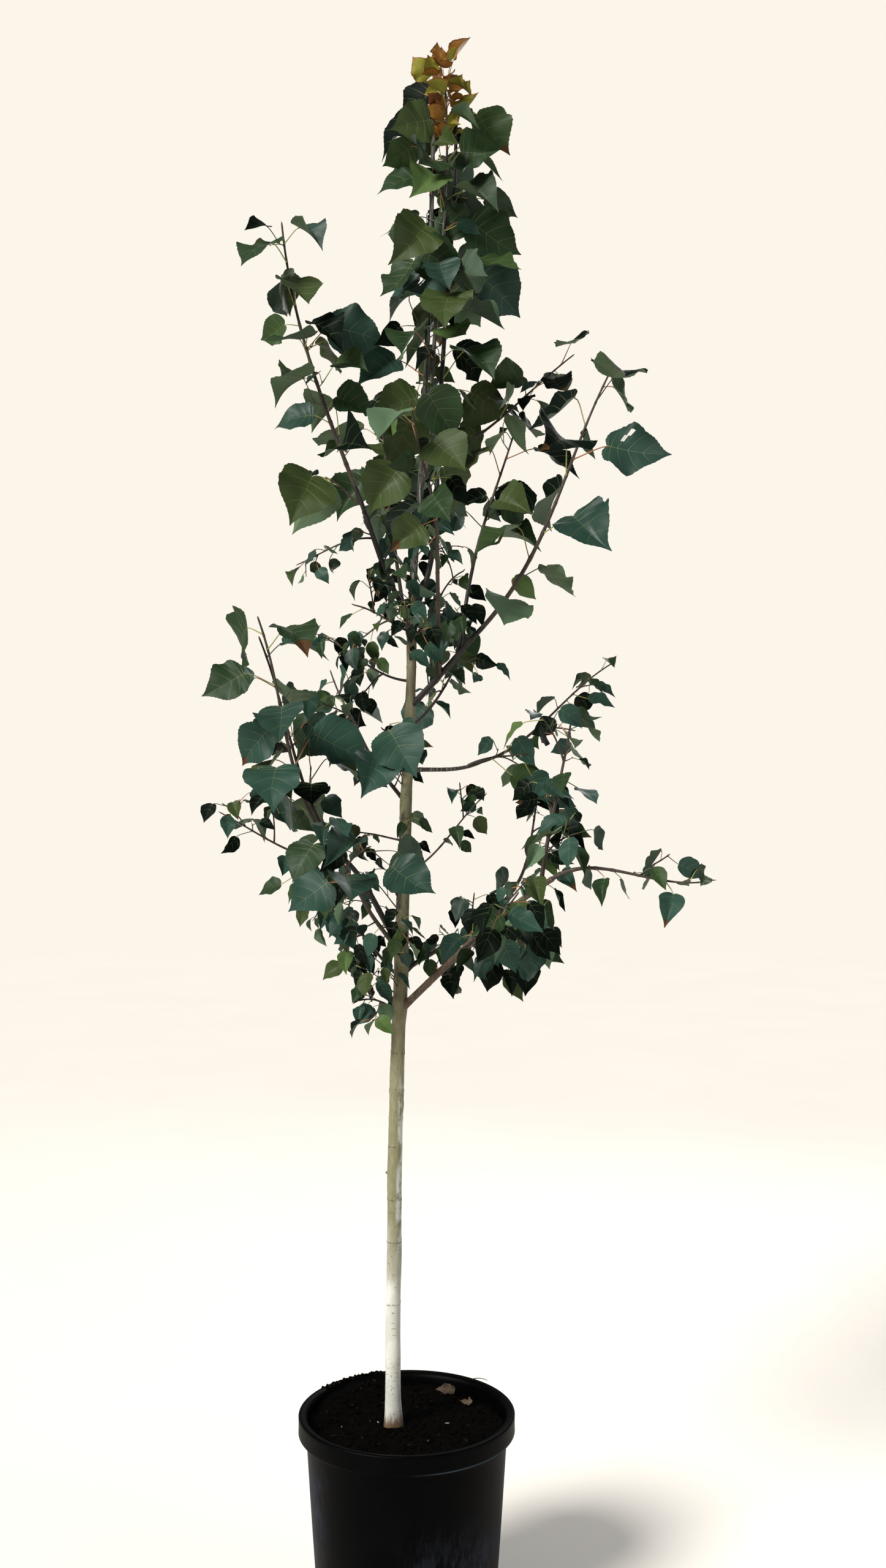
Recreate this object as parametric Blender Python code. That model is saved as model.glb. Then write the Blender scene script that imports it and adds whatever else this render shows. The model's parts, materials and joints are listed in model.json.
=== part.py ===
"""A young quaking aspen in a black nursery pot.

The trunk, each bough and each mass of foliage is one closed solid. Limbs are tapered tubes along smooth
curves between a foot on their parent and a tip in space. A mass of foliage is one stem with side twigs and
leaves, dealt out along it by a spiral rule from a seed, and joined to it. Metres, +Z up, the pot's flat
underside is centred on the origin, and the tree's widest side is seen along +Y.
"""

import math
import random
from typing import NamedTuple

import bmesh
import bpy
import numpy as np
from mathutils.bvhtree import BVHTree

# Clear space between touching pieces, and the greater one that leaves keep from what they don't grow on.
GAP = 0.0003
LEAF_ROOM = 0.0012
# How close a limb comes to a route's foot to count as its neighbour, and at how many places that is measured.
FOOT_ROOM = 0.004
FOOT_SAMPLES = 60

# The pot: a tapered moulded shell with a rolled lip.
POT_HEIGHT = 0.42
POT_FOOT_RADIUS = 0.1695
POT_WALL_RADIUS = 0.195
POT_LIP_RADIUS = 0.21
POT_LIP_DEPTH = 0.038
POT_WALL = 0.003
POT_FLOOR = 0.004
POT_MOUTH = 0.010
POT_SEGMENTS = 32

# The soil: its level at the trunk, and the heap at the back left of the pot.
SOIL_LEVEL = 0.392
SOIL_HEAP = 0.022
SOIL_HEAP_BEARING = 125.0
SOIL_HEAP_SPREAD = 38.0
SOIL_FLAT_RADIUS = 0.062
SOIL_EDGE = 0.006
SOIL_SEGMENTS = 28
SOIL_RINGS = 6

# The trunk: foot in the soil, fork, diameters, and how fast the root flare dies away with height.
TRUNK_FOOT = (-0.0262, 0.0, SOIL_LEVEL + GAP)
TRUNK_FORK = (0.012, 0.0, 2.016)
TRUNK_THICK = (0.0295, 0.0165)
TRUNK_SHOULDER = 0.55
FLARE = 0.0045
FLARE_HEIGHT = 0.035

# Sides and ring spacing of the tubes.
TRUNK_SIDES, TRUNK_STEP = 12, 0.15
BOUGH_SIDES, BOUGH_STEP = 6, 0.05
STEM_SIDES, STEM_STEP = 5, 0.07
TWIG_SIDES, TWIG_STEP = 3, 0.04
# The shares of a side twig and of a stalk from which on they keep clear of their own bearer.
TWIG_OUTER = 0.3
STALK_OUTER = 0.4
# The share of a side twig below its first leaf.
TWIG_BARE = 0.38
# Side twigs: where the first one may leave as a share of the bare stem, how unevenly they are spaced and turned,
# the factors of their length, how far they lean forward and lift, how much steeper they set out, how far they
# bend up or down to their tip, and their thickness with its greatest share of the stem's radius.
TWIG_START = 0.7
TWIG_UNEVEN = 0.5
TWIG_TURN = 60.0
SEED_TURN = 50.0
TWIG_LENGTHS = (0.75, 1.25)
TWIG_LEAN = 0.6
TWIG_LIFT = (-0.1, 0.4)
TWIG_STEEPER = 15.0
TWIG_BEND = (-30.0, 20.0)
TWIG_THICK = (0.0036, 0.0026)
TWIG_OF_STEM = 1.6
# The shares of a stem above which no side twig and no leaf leaves it.
LAST_TWIG = 0.92
LAST_LEAF = 0.985

UP = np.array((0.0, 0.0, 1.0))
# How far a limb's curve keeps its first and last directions, as a share of its reach.
HANDLE = 0.36

# Leaves: where they turn their faces, the angle between two that follow each other, how far stalks rise from
# the twig and sag, how far a blade turns aside, how unevenly the faces turn, how far they turn out and up, and
# how much of the stalk's own direction a blade keeps.
LIGHT = np.array((-0.2, -0.85, 0.45))
DIVERGENCE = 137.5
DIVERGENCE_SPREAD = 40.0
STALK_RISE = (25.0, 55.0)
STALK_SAG = 0.15
YAW_SPREAD = 60.0
FACE_SPREAD = 1.3
FACE_OUT = 0.35
FACE_UP = 0.15
BLADE_FOLLOW = 0.3
# Young leaves: their share of the full length, the rise of their stalks, the fall of their blades, how much
# longer their stalks are for their size, and how closely the leaves of a growing shoot crowd to its tip.
YOUNG_LENGTH = 0.46
YOUNG_RISE = (48.0, 78.0)
YOUNG_FALL = (35.0, -70.0)
YOUNG_STALK = 1.7
YOUNG_CROWDING = 0.62
# A stalk's share of its blade's length with its least and greatest factor, its thickness, how deep it is
# rooted, and a blade's proportions.
PETIOLE = 0.56
PETIOLE_FACTORS = (0.70, 1.30)
PETIOLE_THICK = 0.0013
STALK_SUNK = 0.0008
BLADE_WIDTH = 0.95
WIDTH_FACTORS = (0.88, 1.12)
BLADE_THICK = 0.018
BLADE_CUP = 0.07
BLADE_CURL = 0.10
BLADE_HEART = 0.40
LARGE_LEAF = 0.07
# Half outlines of a blade as (share of its length, share of its half width), from the stalk to the tip.
LARGE_OUTLINE = ((-0.05, 0.50), (0.24, 1.00), (0.64, 0.56))
SMALL_OUTLINE = ((0.02, 0.72), (0.46, 0.92))
# Turns about the stem, in degrees, that a leaf or twig tries in order before it is skipped.
TURNS = (0.0, 35.0, -35.0, 75.0, -75.0, 120.0)


class Limb(NamedTuple):
    """A limb: the share of its parent's length where it leaves (1 is the parent's tip), its own tip, how
    many degrees above level it leaves and arrives, and its diameters at foot and tip."""

    name: str
    parent: str
    at: float
    tip: tuple
    leave: float
    arrive: float
    thick: tuple


class Mass(NamedTuple):
    """A mass of foliage: its stem as a limb, the bare share of that stem, leaves on the stem, their lengths,
    how far they droop below level, side twigs with their length and leaves, the share of the stem after which
    the leaves are young ones, and the seed of its draws."""

    stem: Limb
    bare: float
    leaves: int
    blade: tuple
    droop: tuple
    twigs: int
    twig_reach: float
    twig_leaves: int
    young: float
    seed: int


class Leaf(NamedTuple):
    """A leaf: root on its twig, blade base, the blade's own axes (along, across, face), length and width."""

    root: np.ndarray
    base: np.ndarray
    along: np.ndarray
    across: np.ndarray
    face: np.ndarray
    length: float
    width: float
    young: bool


BOUGHS = (
    Limb("leader_left", "trunk", 1.0, (0.029, 0.004, 2.27), 88, 88, (0.0155, 0.0115)),
    Limb("leader_middle", "leader_left", 0.78, (0.045, -0.014, 2.36), 66, 87, (0.0095, 0.0090)),
    Limb("leader_right", "trunk", 0.972, (0.061, 0.010, 2.30), 62, 87, (0.0110, 0.0095)),
    Limb("bough_upper_left", "trunk", 0.965, (-0.100, -0.035, 2.215), 52, 66, (0.0105, 0.0085)),
    Limb("bough_upper_right", "trunk", 0.860, (0.148, -0.080, 1.940), 40, 42, (0.0125, 0.0095)),
    Limb("bough_right_inner", "bough_upper_right", 0.66, (0.128, 0.000, 2.060), 70, 64, (0.0085, 0.0070)),
    Limb("bough_upper_front", "bough_upper_right", 0.40, (0.060, -0.250, 2.080), 45, 60, (0.0085, 0.0070)),
    Limb("bough_upper_back", "trunk", 0.930, (-0.035, 0.190, 2.170), 45, 58, (0.0090, 0.0070)),
    Limb("bough_middle_right", "trunk", 0.785, (0.146, 0.080, 1.684), 4, 22, (0.0090, 0.0070)),
    Limb("bough_middle_back", "trunk", 0.745, (-0.100, 0.180, 1.740), 30, 45, (0.0085, 0.0065)),
    Limb("bough_lower_left", "trunk", 0.574, (-0.127, -0.050, 1.503), 50, 38, (0.0120, 0.0090)),
    Limb("bough_lower_right", "trunk", 0.496, (0.274, -0.140, 1.464), 42, 32, (0.0145, 0.0105)),
    Limb("bough_lower_back", "trunk", 0.541, (0.200, 0.200, 1.400), 25, 38, (0.0100, 0.0080)),
    Limb("bough_lower_front", "trunk", 0.560, (-0.080, -0.200, 1.440), 38, 42, (0.0090, 0.0070)),
)

MASSES = (
    Mass(Limb("top_left", "leader_left", 1.0, (0.052, 0.004, 2.953), 88, 89, (0.0112, 0.0078)),
         0.10, 10, (0.075, 0.120), (15, 50), 0, 0, 0, 1.0, 347),
    Mass(Limb("top_middle", "leader_middle", 1.0, (0.074, -0.014, 3.004), 87, 94, (0.0088, 0.0034)),
         0.08, 20, (0.075, 0.120), (15, 55), 0, 0, 0, 0.78, 103),
    Mass(Limb("top_right", "leader_right", 1.0, (0.096, 0.010, 2.951), 87, 90, (0.0092, 0.0066)),
         0.06, 11, (0.075, 0.120), (15, 50), 0, 0, 0, 1.0, 160),
    Mass(Limb("upper_left", "bough_upper_left", 1.0, (-0.235, -0.080, 2.700), 66, 84, (0.0083, 0.0036)),
         0.03, 12, (0.070, 0.115), (5, 45), 0, 0, 0, 1.0, 466),
    Mass(Limb("upper_left_twig", "bough_upper_left", 0.62, (-0.215, 0.045, 2.075), 8, -18, (0.0040, 0.0024)),
         0.35, 4, (0.036, 0.050), (20, 60), 0, 0, 0, 1.0, 34),
    Mass(Limb("right_outer", "bough_upper_right", 1.0, (0.383, -0.140, 2.410), 42, 62, (0.0092, 0.0034)),
         0.08, 10, (0.080, 0.125), (5, 45), 0, 0, 0, 1.0, 350),
    Mass(Limb("right_inner", "bough_right_inner", 1.0, (0.215, 0.070, 2.350), 64, 70, (0.0068, 0.0032)),
         0.10, 7, (0.070, 0.110), (10, 50), 0, 0, 0, 1.0, 583),
    Mass(Limb("right_diagonal", "leader_right", 0.93, (0.335, 0.150, 2.516), 26, 38, (0.0062, 0.0028)),
         0.22, 7, (0.050, 0.085), (5, 45), 0, 0, 0, 1.0, 507),
    Mass(Limb("upper_front", "bough_upper_front", 1.0, (0.015, -0.330, 2.300), 60, 78, (0.0068, 0.0036)),
         0.05, 8, (0.070, 0.110), (25, 60), 0, 0, 0, 1.0, 465),
    Mass(Limb("upper_back", "bough_upper_back", 1.0, (-0.060, 0.330, 2.430), 58, 76, (0.0068, 0.0036)),
         0.05, 9, (0.070, 0.110), (15, 55), 0, 0, 0, 1.0, 245),
    Mass(Limb("fork_left", "trunk", 0.950, (-0.100, -0.030, 1.985), 20, 10, (0.0050, 0.0028)),
         0.25, 3, (0.030, 0.048), (20, 70), 2, 0.08, 4, 1.0, 82),
    Mass(Limb("fork_right", "trunk", 0.945, (0.110, 0.040, 2.060), 30, 25, (0.0050, 0.0028)),
         0.30, 3, (0.030, 0.052), (20, 70), 2, 0.08, 4, 1.0, 72),
    Mass(Limb("fork_front", "trunk", 0.915, (0.000, -0.110, 1.980), 25, 35, (0.0050, 0.0028)),
         0.30, 3, (0.030, 0.052), (30, 70), 1, 0.07, 4, 1.0, 12),
    Mass(Limb("middle_left", "trunk", 0.892, (-0.165, -0.040, 1.925), 2, 22, (0.0052, 0.0026)),
         0.30, 4, (0.028, 0.046), (30, 75), 3, 0.08, 3, 1.0, 104),
    Mass(Limb("middle_back", "bough_middle_back", 1.0, (-0.170, 0.300, 1.880), 45, 55, (0.0063, 0.0030)),
         0.05, 5, (0.045, 0.075), (20, 60), 2, 0.09, 3, 1.0, 68),
    Mass(Limb("right_back", "trunk", 0.835, (0.130, 0.300, 1.960), 18, 42, (0.0070, 0.0030)),
         0.40, 4, (0.045, 0.080), (20, 60), 2, 0.09, 3, 1.0, 31),
    Mass(Limb("middle_right", "bough_middle_right", 1.0, (0.424, 0.200, 1.892), 22, 28, (0.0068, 0.0026)),
         0.08, 7, (0.040, 0.070), (10, 50), 2, 0.09, 4, 1.0, 56),
    Mass(Limb("trunk_left", "trunk", 0.700, (-0.100, 0.020, 1.545), 8, 0, (0.0042, 0.0024)),
         0.35, 3, (0.028, 0.042), (25, 70), 1, 0.06, 3, 1.0, 53),
    Mass(Limb("trunk_right", "trunk", 0.660, (0.150, -0.060, 1.618), 22, 40, (0.0046, 0.0024)),
         0.35, 4, (0.030, 0.048), (15, 60), 1, 0.06, 3, 1.0, 53),
    Mass(Limb("left_upright", "bough_lower_left", 1.0, (-0.277, -0.100, 1.950), 38, 70, (0.0088, 0.0040)),
         0.14, 9, (0.085, 0.125), (10, 50), 0, 0, 0, 1.0, 415),
    Mass(Limb("left_second", "bough_lower_left", 0.86, (-0.290, 0.030, 1.925), 45, 66, (0.0076, 0.0038)),
         0.16, 5, (0.070, 0.105), (10, 50), 1, 0.07, 3, 1.0, 142),
    Mass(Limb("left_level", "bough_lower_left", 0.94, (-0.345, -0.110, 1.585), -4, 28, (0.0056, 0.0024)),
         0.20, 5, (0.040, 0.058), (15, 65), 3, 0.09, 3, 1.0, 61),
    Mass(Limb("left_inner", "bough_lower_left", 0.55, (-0.190, 0.040, 1.400), 12, 5, (0.0050, 0.0024)),
         0.20, 4, (0.036, 0.052), (40, 80), 2, 0.08, 3, 1.0, 111),
    Mass(Limb("left_back", "trunk", 0.535, (-0.200, 0.280, 1.420), 22, 12, (0.0070, 0.0028)),
         0.35, 4, (0.036, 0.056), (30, 75), 2, 0.09, 3, 1.0, 9),
    Mass(Limb("left_front", "bough_lower_front", 1.0, (-0.140, -0.320, 1.580), 42, 58, (0.0068, 0.0032)),
         0.05, 5, (0.055, 0.095), (20, 60), 1, 0.08, 4, 1.0, 323),
    Mass(Limb("lowest_left", "trunk", 0.488, (-0.090, -0.050, 1.225), 55, -10, (0.0052, 0.0026)),
         0.30, 4, (0.036, 0.050), (45, 80), 2, 0.06, 3, 1.0, 48),
    Mass(Limb("right_level", "bough_lower_right", 1.0, (0.560, -0.200, 1.465), -12, 14, (0.0080, 0.0026)),
         0.10, 7, (0.045, 0.070), (15, 60), 1, 0.07, 3, 1.0, 6),
    Mass(Limb("right_upright", "bough_lower_right", 0.93, (0.311, -0.110, 1.759), 82, 80, (0.0088, 0.0036)),
         0.10, 6, (0.045, 0.075), (10, 55), 3, 0.10, 4, 1.0, 85),
    Mass(Limb("right_hanging", "bough_lower_right", 0.62, (0.230, -0.060, 1.330), -5, -20, (0.0052, 0.0026)),
         0.20, 5, (0.045, 0.070), (45, 80), 3, 0.09, 4, 1.0, 58),
    Mass(Limb("right_front", "bough_lower_right", 0.45, (0.200, -0.330, 1.450), 20, 30, (0.0068, 0.0028)),
         0.25, 5, (0.045, 0.070), (25, 70), 3, 0.09, 3, 1.0, 135),
    Mass(Limb("lower_back", "bough_lower_back", 1.0, (0.280, 0.360, 1.620), 38, 58, (0.0078, 0.0032)),
         0.05, 5, (0.045, 0.075), (20, 60), 2, 0.10, 3, 1.0, 41),
    Mass(Limb("lower_inner", "bough_lower_back", 0.50, (0.190, 0.070, 1.370), 10, 0, (0.0050, 0.0026)),
         0.25, 4, (0.036, 0.056), (40, 80), 2, 0.08, 3, 1.0, 72),
    Mass(Limb("upper_left_low", "bough_upper_left", 0.86, (-0.150, -0.050, 2.225), 20, 15, (0.0046, 0.0030)),
         0.60, 2, (0.105, 0.122), (35, 65), 0, 0, 0, 1.0, 429),
    Mass(Limb("trunk_high", "trunk", 0.800, (-0.045, -0.045, 1.745), 25, 20, (0.0046, 0.0030)),
         0.45, 2, (0.085, 0.110), (25, 55), 0, 0, 0, 1.0, 135),
    Mass(Limb("middle_inner", "bough_middle_right", 0.82, (0.235, 0.060, 1.700), 30, 10, (0.0046, 0.0028)),
         0.30, 3, (0.050, 0.085), (30, 70), 1, 0.07, 3, 1.0, 90),
)


def unit(vector):
    """The vector at length 1."""
    return vector / np.linalg.norm(vector)


def between(pair, share):
    """The value at a share of the way from the first to the second of a pair."""
    return pair[0] + (pair[1] - pair[0]) * share


def turned(vector, start, end):
    """The vector after the shortest turn that takes direction start to direction end."""
    axis = np.cross(start, end)
    sine = np.linalg.norm(axis)
    if sine < 1e-9:
        return vector
    axis = axis / sine
    cosine = float(np.dot(start, end))
    return vector * cosine + np.cross(axis, vector) * sine + axis * np.dot(axis, vector) * (1 - cosine)


def climb(level, rise):
    """A direction that rises the given degrees above a level one."""
    return level * math.cos(math.radians(rise)) + UP * math.sin(math.radians(rise))


class Route:
    """The centre line of a limb as a chain of points, with its radii."""

    def __init__(self, points, radii):
        self.points = points
        self.radii = radii
        steps = np.linalg.norm(np.diff(points, axis=0), axis=1)
        self.length = float(steps.sum())
        self.shares = np.concatenate(([0.0], np.cumsum(steps))) / self.length
        whole = unit(points[-1] - points[0])
        self.reference = np.array((1.0, 0.0, 0.0)) if abs(whole[0]) < 0.8 else UP

    def point(self, share):
        """The place at a share of the length."""
        return np.array([np.interp(share, self.shares, self.points[:, k]) for k in range(3)])

    def tangent(self, share):
        """The direction of the chain's link at a share of the length."""
        link = int(np.clip(np.searchsorted(self.shares, share, side="right") - 1, 0, len(self.points) - 2))
        return unit(self.points[link + 1] - self.points[link])

    def radius(self, share):
        """The radius at a share of the length."""
        return float(np.interp(share, self.shares, self.radii))

    def side(self, ahead, angle):
        """A direction square to direction ahead, at an angle about it in degrees."""
        east = unit(self.reference - ahead * np.dot(self.reference, ahead))
        north = np.cross(ahead, east)
        return east * math.cos(math.radians(angle)) + north * math.sin(math.radians(angle))


def curve(foot, tip, leave, arrive, thick, step, start=None):
    """A route from foot to tip that leaves and arrives at the given rises, or sets off in direction start."""
    across = (tip - foot) * (1.0, 1.0, 0.0)
    level = unit(across) if np.linalg.norm(across) > 1e-6 else np.array((1.0, 0.0, 0.0))
    reach = np.linalg.norm(tip - foot)
    first = climb(level, leave) if start is None else start
    handles = (foot + first * reach * HANDLE, tip - climb(level, arrive) * reach * HANDLE)
    count = max(2, round(reach / step)) + 1
    points = []
    for t in np.linspace(0.0, 1.0, count):
        s = 1.0 - t
        points.append(foot * s**3 + handles[0] * 3 * s * s * t + handles[1] * 3 * s * t * t + tip * t**3)
    radii = np.linspace(thick[0], thick[1], count) / 2
    return Route(np.array(points), radii)


def trunk_route():
    """The trunk's route: full thickness to its shoulder, then tapering to the fork, with a root flare."""
    foot, fork = np.array(TRUNK_FOOT), np.array(TRUNK_FORK)
    plain = curve(foot, fork, 90.5, 88.5, TRUNK_THICK, TRUNK_STEP)
    low = foot + (0.0, 0.0, FLARE_HEIGHT)
    points = np.vstack((foot, low, plain.points[1:]))
    radii = []
    for place in points:
        height = (place[2] - foot[2]) / (fork[2] - foot[2])
        past = max(0.0, height - TRUNK_SHOULDER) / (1 - TRUNK_SHOULDER)
        body = TRUNK_THICK[0] + (TRUNK_THICK[1] - TRUNK_THICK[0]) * (0.35 * height + 0.65 * past)
        radii.append(body / 2 + FLARE * math.exp(-(place[2] - foot[2]) / FLARE_HEIGHT))
    return Route(points, np.array(radii))


def limb_route(limb, parent, step):
    """The route of a limb on its parent's route: on from the tip, or out from the parent's centre line."""
    tip = np.array(limb.tip)
    if limb.at < 1.0:
        return curve(parent.point(limb.at), tip, limb.leave, limb.arrive, limb.thick, step)
    ahead = parent.tangent(1.0)
    return curve(parent.points[-1] + ahead * GAP, tip, limb.leave, limb.arrive, limb.thick, step, ahead)


def tube(route, sides, swell=0.0, first=0.0):
    """A closed tube along a route, from a share of its length on, with its radii swollen: points and faces."""
    keep = route.shares >= first - 1e-9
    centres, radii = route.points[keep], route.radii[keep] + swell
    points, faces = [], []
    for i, centre in enumerate(centres):
        before = centres[max(i - 1, 0)]
        after = centres[min(i + 1, len(centres) - 1)]
        ahead = unit(after - before)
        for k in range(sides):
            points.append(centre + route.side(ahead, 360.0 * k / sides) * radii[i])
    for i in range(len(centres) - 1):
        for k in range(sides):
            a, b = i * sides + k, i * sides + (k + 1) % sides
            faces.append((a, b, b + sides, a + sides))
    last = (len(centres) - 1) * sides
    faces.append(tuple(range(sides - 1, -1, -1)))
    faces.append(tuple(range(last, last + sides)))
    return points, faces


def leaf_root(route, sides, share, angle):
    """Where a stalk starts: under the middle of the tube's facet that is nearest to an angle about it."""
    facet = 360.0 / sides
    nearest = (math.floor(angle / facet) + 0.5) * facet
    depth = max(0.0, route.radius(share) * math.cos(math.pi / sides) - STALK_SUNK)
    return route.point(share) + route.side(route.tangent(share), nearest) * depth


def make_leaf(route, sides, share, angle, blade, droop, young, draw):
    """A leaf at a share of a twig's length and an angle about it. A young one is small and stands up."""
    ahead = route.tangent(share)
    side = route.side(ahead, angle)
    length = between(blade, draw[0]) * (YOUNG_LENGTH if young else 1.0)
    rise = math.radians(between(YOUNG_RISE if young else STALK_RISE, draw[1]))
    fall = math.radians(between(YOUNG_FALL if young else droop, draw[2]))
    stalk = unit(side * math.cos(rise) + ahead * math.sin(rise) - UP * STALK_SAG)
    root = leaf_root(route, sides, share, angle)
    stalk_length = length * PETIOLE * between(PETIOLE_FACTORS, draw[3]) * (YOUNG_STALK if young else 1.0)
    base = root + stalk * stalk_length
    level = (side + stalk * BLADE_FOLLOW) * (1.0, 1.0, 0.0)
    level = unit(level) if np.linalg.norm(level) > 0.1 else unit(stalk * (1.0, 1.0, 0.0) + (0.01, 0.0, 0.0))
    yaw = math.radians(YAW_SPREAD * (draw[4] - 0.5))
    level = level * math.cos(yaw) + np.cross(UP, level) * math.sin(yaw)
    along = level * math.cos(fall) - UP * math.sin(fall)
    face = LIGHT + side * FACE_OUT + UP * FACE_UP + (np.array(draw[5:8]) - 0.5) * FACE_SPREAD
    face = unit(face - along * np.dot(face, along))
    width = BLADE_WIDTH * between(WIDTH_FACTORS, draw[8]) * length
    return Leaf(root, base, along, np.cross(face, along), face, length, width, young)


def mass_twigs(mass, stem, turns=None):
    """The side twigs of a mass as (number, candidate routes), one route for each turn that it may try."""
    for i in range(mass.twigs):
        rng = random.Random(f"{mass.seed} twig {i}")
        step = (i + 0.5 + TWIG_UNEVEN * (rng.random() - 0.5)) / mass.twigs
        share = between((mass.bare * TWIG_START, LAST_TWIG), step)
        angle = rng.random() * TWIG_TURN + i * DIVERGENCE + mass.seed * SEED_TURN
        reach = mass.twig_reach * between(TWIG_LENGTHS, rng.random())
        lift, bend = between(TWIG_LIFT, rng.random()), between(TWIG_BEND, rng.random())
        routes = []
        for turn in TURNS:
            ahead = stem.tangent(share)
            out = unit(stem.side(ahead, angle + turn) + ahead * TWIG_LEAN + UP * lift)
            root = stem.point(share)
            thick = (min(TWIG_THICK[0], stem.radius(share) * TWIG_OF_STEM), TWIG_THICK[1])
            rise = math.degrees(math.asin(out[2]))
            routes.append(curve(root, root + out * reach, rise + TWIG_STEEPER, rise + bend, thick, TWIG_STEP))
        yield i, routes


def mass_leaves(mass, route, twig):
    """The leaves of a stem (twig None) or of a side twig, each as its candidates for the turns in order."""
    if twig is None:
        count, first, sides = mass.leaves, mass.bare, STEM_SIDES
    else:
        count, first, sides = mass.twig_leaves, TWIG_BARE, TWIG_SIDES
    crowding = YOUNG_CROWDING if mass.young < 1 else 1.0
    start = random.Random(f"{mass.seed} start {twig}").random() * 360
    for i in range(count):
        rng = random.Random(f"{mass.seed} leaf {twig} {i}")
        draw = [rng.random() for _ in range(9)]
        share = between((first, LAST_LEAF), ((i + 0.3 + 0.6 * rng.random()) / count) ** crowding)
        angle = start + i * DIVERGENCE + DIVERGENCE_SPREAD * (rng.random() - 0.5)
        young = twig is None and share > mass.young
        turns = [angle + turn for turn in TURNS]
        yield [make_leaf(route, sides, share, turn, mass.blade, mass.droop, young, draw) for turn in turns]


def leaf_shape(leaf, swell=0.0, stalk_from=0.0):
    """Points and faces of a closed leaf: a thin cupped blade on a three-sided stalk, swollen for a
    clearance test, with its stalk from a share of its length on."""
    outline = LARGE_OUTLINE if leaf.length >= LARGE_LEAF else SMALL_OUTLINE

    def place(along, across, up):
        return leaf.base + leaf.along * along + leaf.across * across + leaf.face * up

    def blade_height(share, beside):
        return leaf.length * (BLADE_CUP * abs(beside) - BLADE_CURL * share * share)

    half = leaf.width / 2 + swell
    right = [place(u * leaf.length, v * half, blade_height(u, v)) for u, v in outline]
    left = [place(u * leaf.length, -v * half, blade_height(u, v)) for u, v in outline]
    tip = place(leaf.length + swell, 0.0, blade_height(1.0, 0.0))
    thick = leaf.length * BLADE_THICK / 2 + swell
    middle = blade_height(BLADE_HEART, 0.0)
    top = place(BLADE_HEART * leaf.length, 0.0, middle + thick)
    under = place(BLADE_HEART * leaf.length, 0.0, middle - thick)
    stalk = unit(leaf.base - leaf.root)
    mean = unit(stalk + leaf.along)
    radius = PETIOLE_THICK / 2 * min(1.0, (leaf.length / LARGE_LEAF + 1) / 2) + swell
    start = leaf.root + (leaf.base - leaf.root) * stalk_from
    joints, feet = [], []
    for angle in (90, 210, 330):
        spoke = leaf.face * math.sin(math.radians(angle)) + leaf.across * math.cos(math.radians(angle))
        spoke = turned(spoke, leaf.along, mean)
        joints.append(leaf.base + spoke * radius)
        feet.append(start + turned(spoke, mean, stalk) * radius)
    ring = right + [tip] + left[::-1]
    points = ring + [top, under] + joints + feet
    n = len(ring)
    up, down = n, n + 1
    joint_top, joint_left, joint_right = n + 2, n + 3, n + 4
    foot_top, foot_left, foot_right = n + 5, n + 6, n + 7
    faces = []
    for k in range(n - 1):
        faces += [(up, k, k + 1), (down, k + 1, k)]
    faces += [(up, n - 1, joint_left), (up, joint_left, joint_top), (up, joint_top, joint_right)]
    faces += [(up, joint_right, 0), (down, joint_left, n - 1)]
    faces += [(down, joint_right, joint_left), (down, 0, joint_right)]
    faces += [(joint_top, joint_left, foot_left), (joint_top, foot_left, foot_top)]
    faces += [(joint_left, joint_right, foot_right), (joint_left, foot_right, foot_left)]
    faces += [(joint_right, joint_top, foot_top), (joint_right, foot_top, foot_right)]
    faces += [(foot_top, foot_left, foot_right)]
    return points, faces


class Space:
    """The space already taken, as shapes with their owners that a new one is tested against."""

    def __init__(self):
        self.shapes = []

    def add(self, owner, shape):
        """Takes up a shape's space for its owner."""
        points = np.array(shape[0])
        tree = BVHTree.FromPolygons([tuple(p) for p in shape[0]], shape[1])
        self.shapes.append((owner, points.min(0), points.max(0), tree))

    def free(self, whole, outer, bearer):
        """True if a shape touches nothing so far, with only its outer part tested against its bearer."""
        points = np.array(whole[0])
        low, high = points.min(0), points.max(0)
        trees = {}
        for owner, other_low, other_high, other in self.shapes:
            if (low > other_high).any() or (high < other_low).any():
                continue
            part = "outer" if owner == bearer else "whole"
            if part not in trees:
                shape = outer if part == "outer" else whole
                trees[part] = BVHTree.FromPolygons([tuple(p) for p in shape[0]], shape[1])
            if trees[part].overlap(other):
                return False
        return True

    def take_twig(self, candidates, bearer, owner):
        """Takes up the first of a twig's candidate routes that has room, and returns it, or None."""
        for route in candidates:
            whole = tube(route, TWIG_SIDES, swell=LEAF_ROOM)
            outer = tube(route, TWIG_SIDES, swell=LEAF_ROOM, first=TWIG_OUTER)
            if self.free(whole, outer, bearer):
                self.add(owner, tube(route, TWIG_SIDES))
                return route
        return None

    def take_leaf(self, candidates, bearer):
        """Takes up the first of a leaf's candidates that has room, and returns it, or None."""
        for leaf in candidates:
            whole = leaf_shape(leaf, swell=LEAF_ROOM / 2)
            outer = leaf_shape(leaf, swell=LEAF_ROOM / 2, stalk_from=STALK_OUTER)
            if self.free(whole, outer, bearer):
                self.add("leaf", leaf_shape(leaf))
                return leaf
        return None


def finish(name, colour, roughness):
    """A Principled material."""
    material = bpy.data.materials.new(name)
    material.use_nodes = True
    shader = material.node_tree.nodes["Principled BSDF"]
    shader.inputs["Base Color"].default_value = (*colour, 1.0)
    shader.inputs["Roughness"].default_value = roughness
    shader.inputs["Metallic"].default_value = 0.0
    return material


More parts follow.
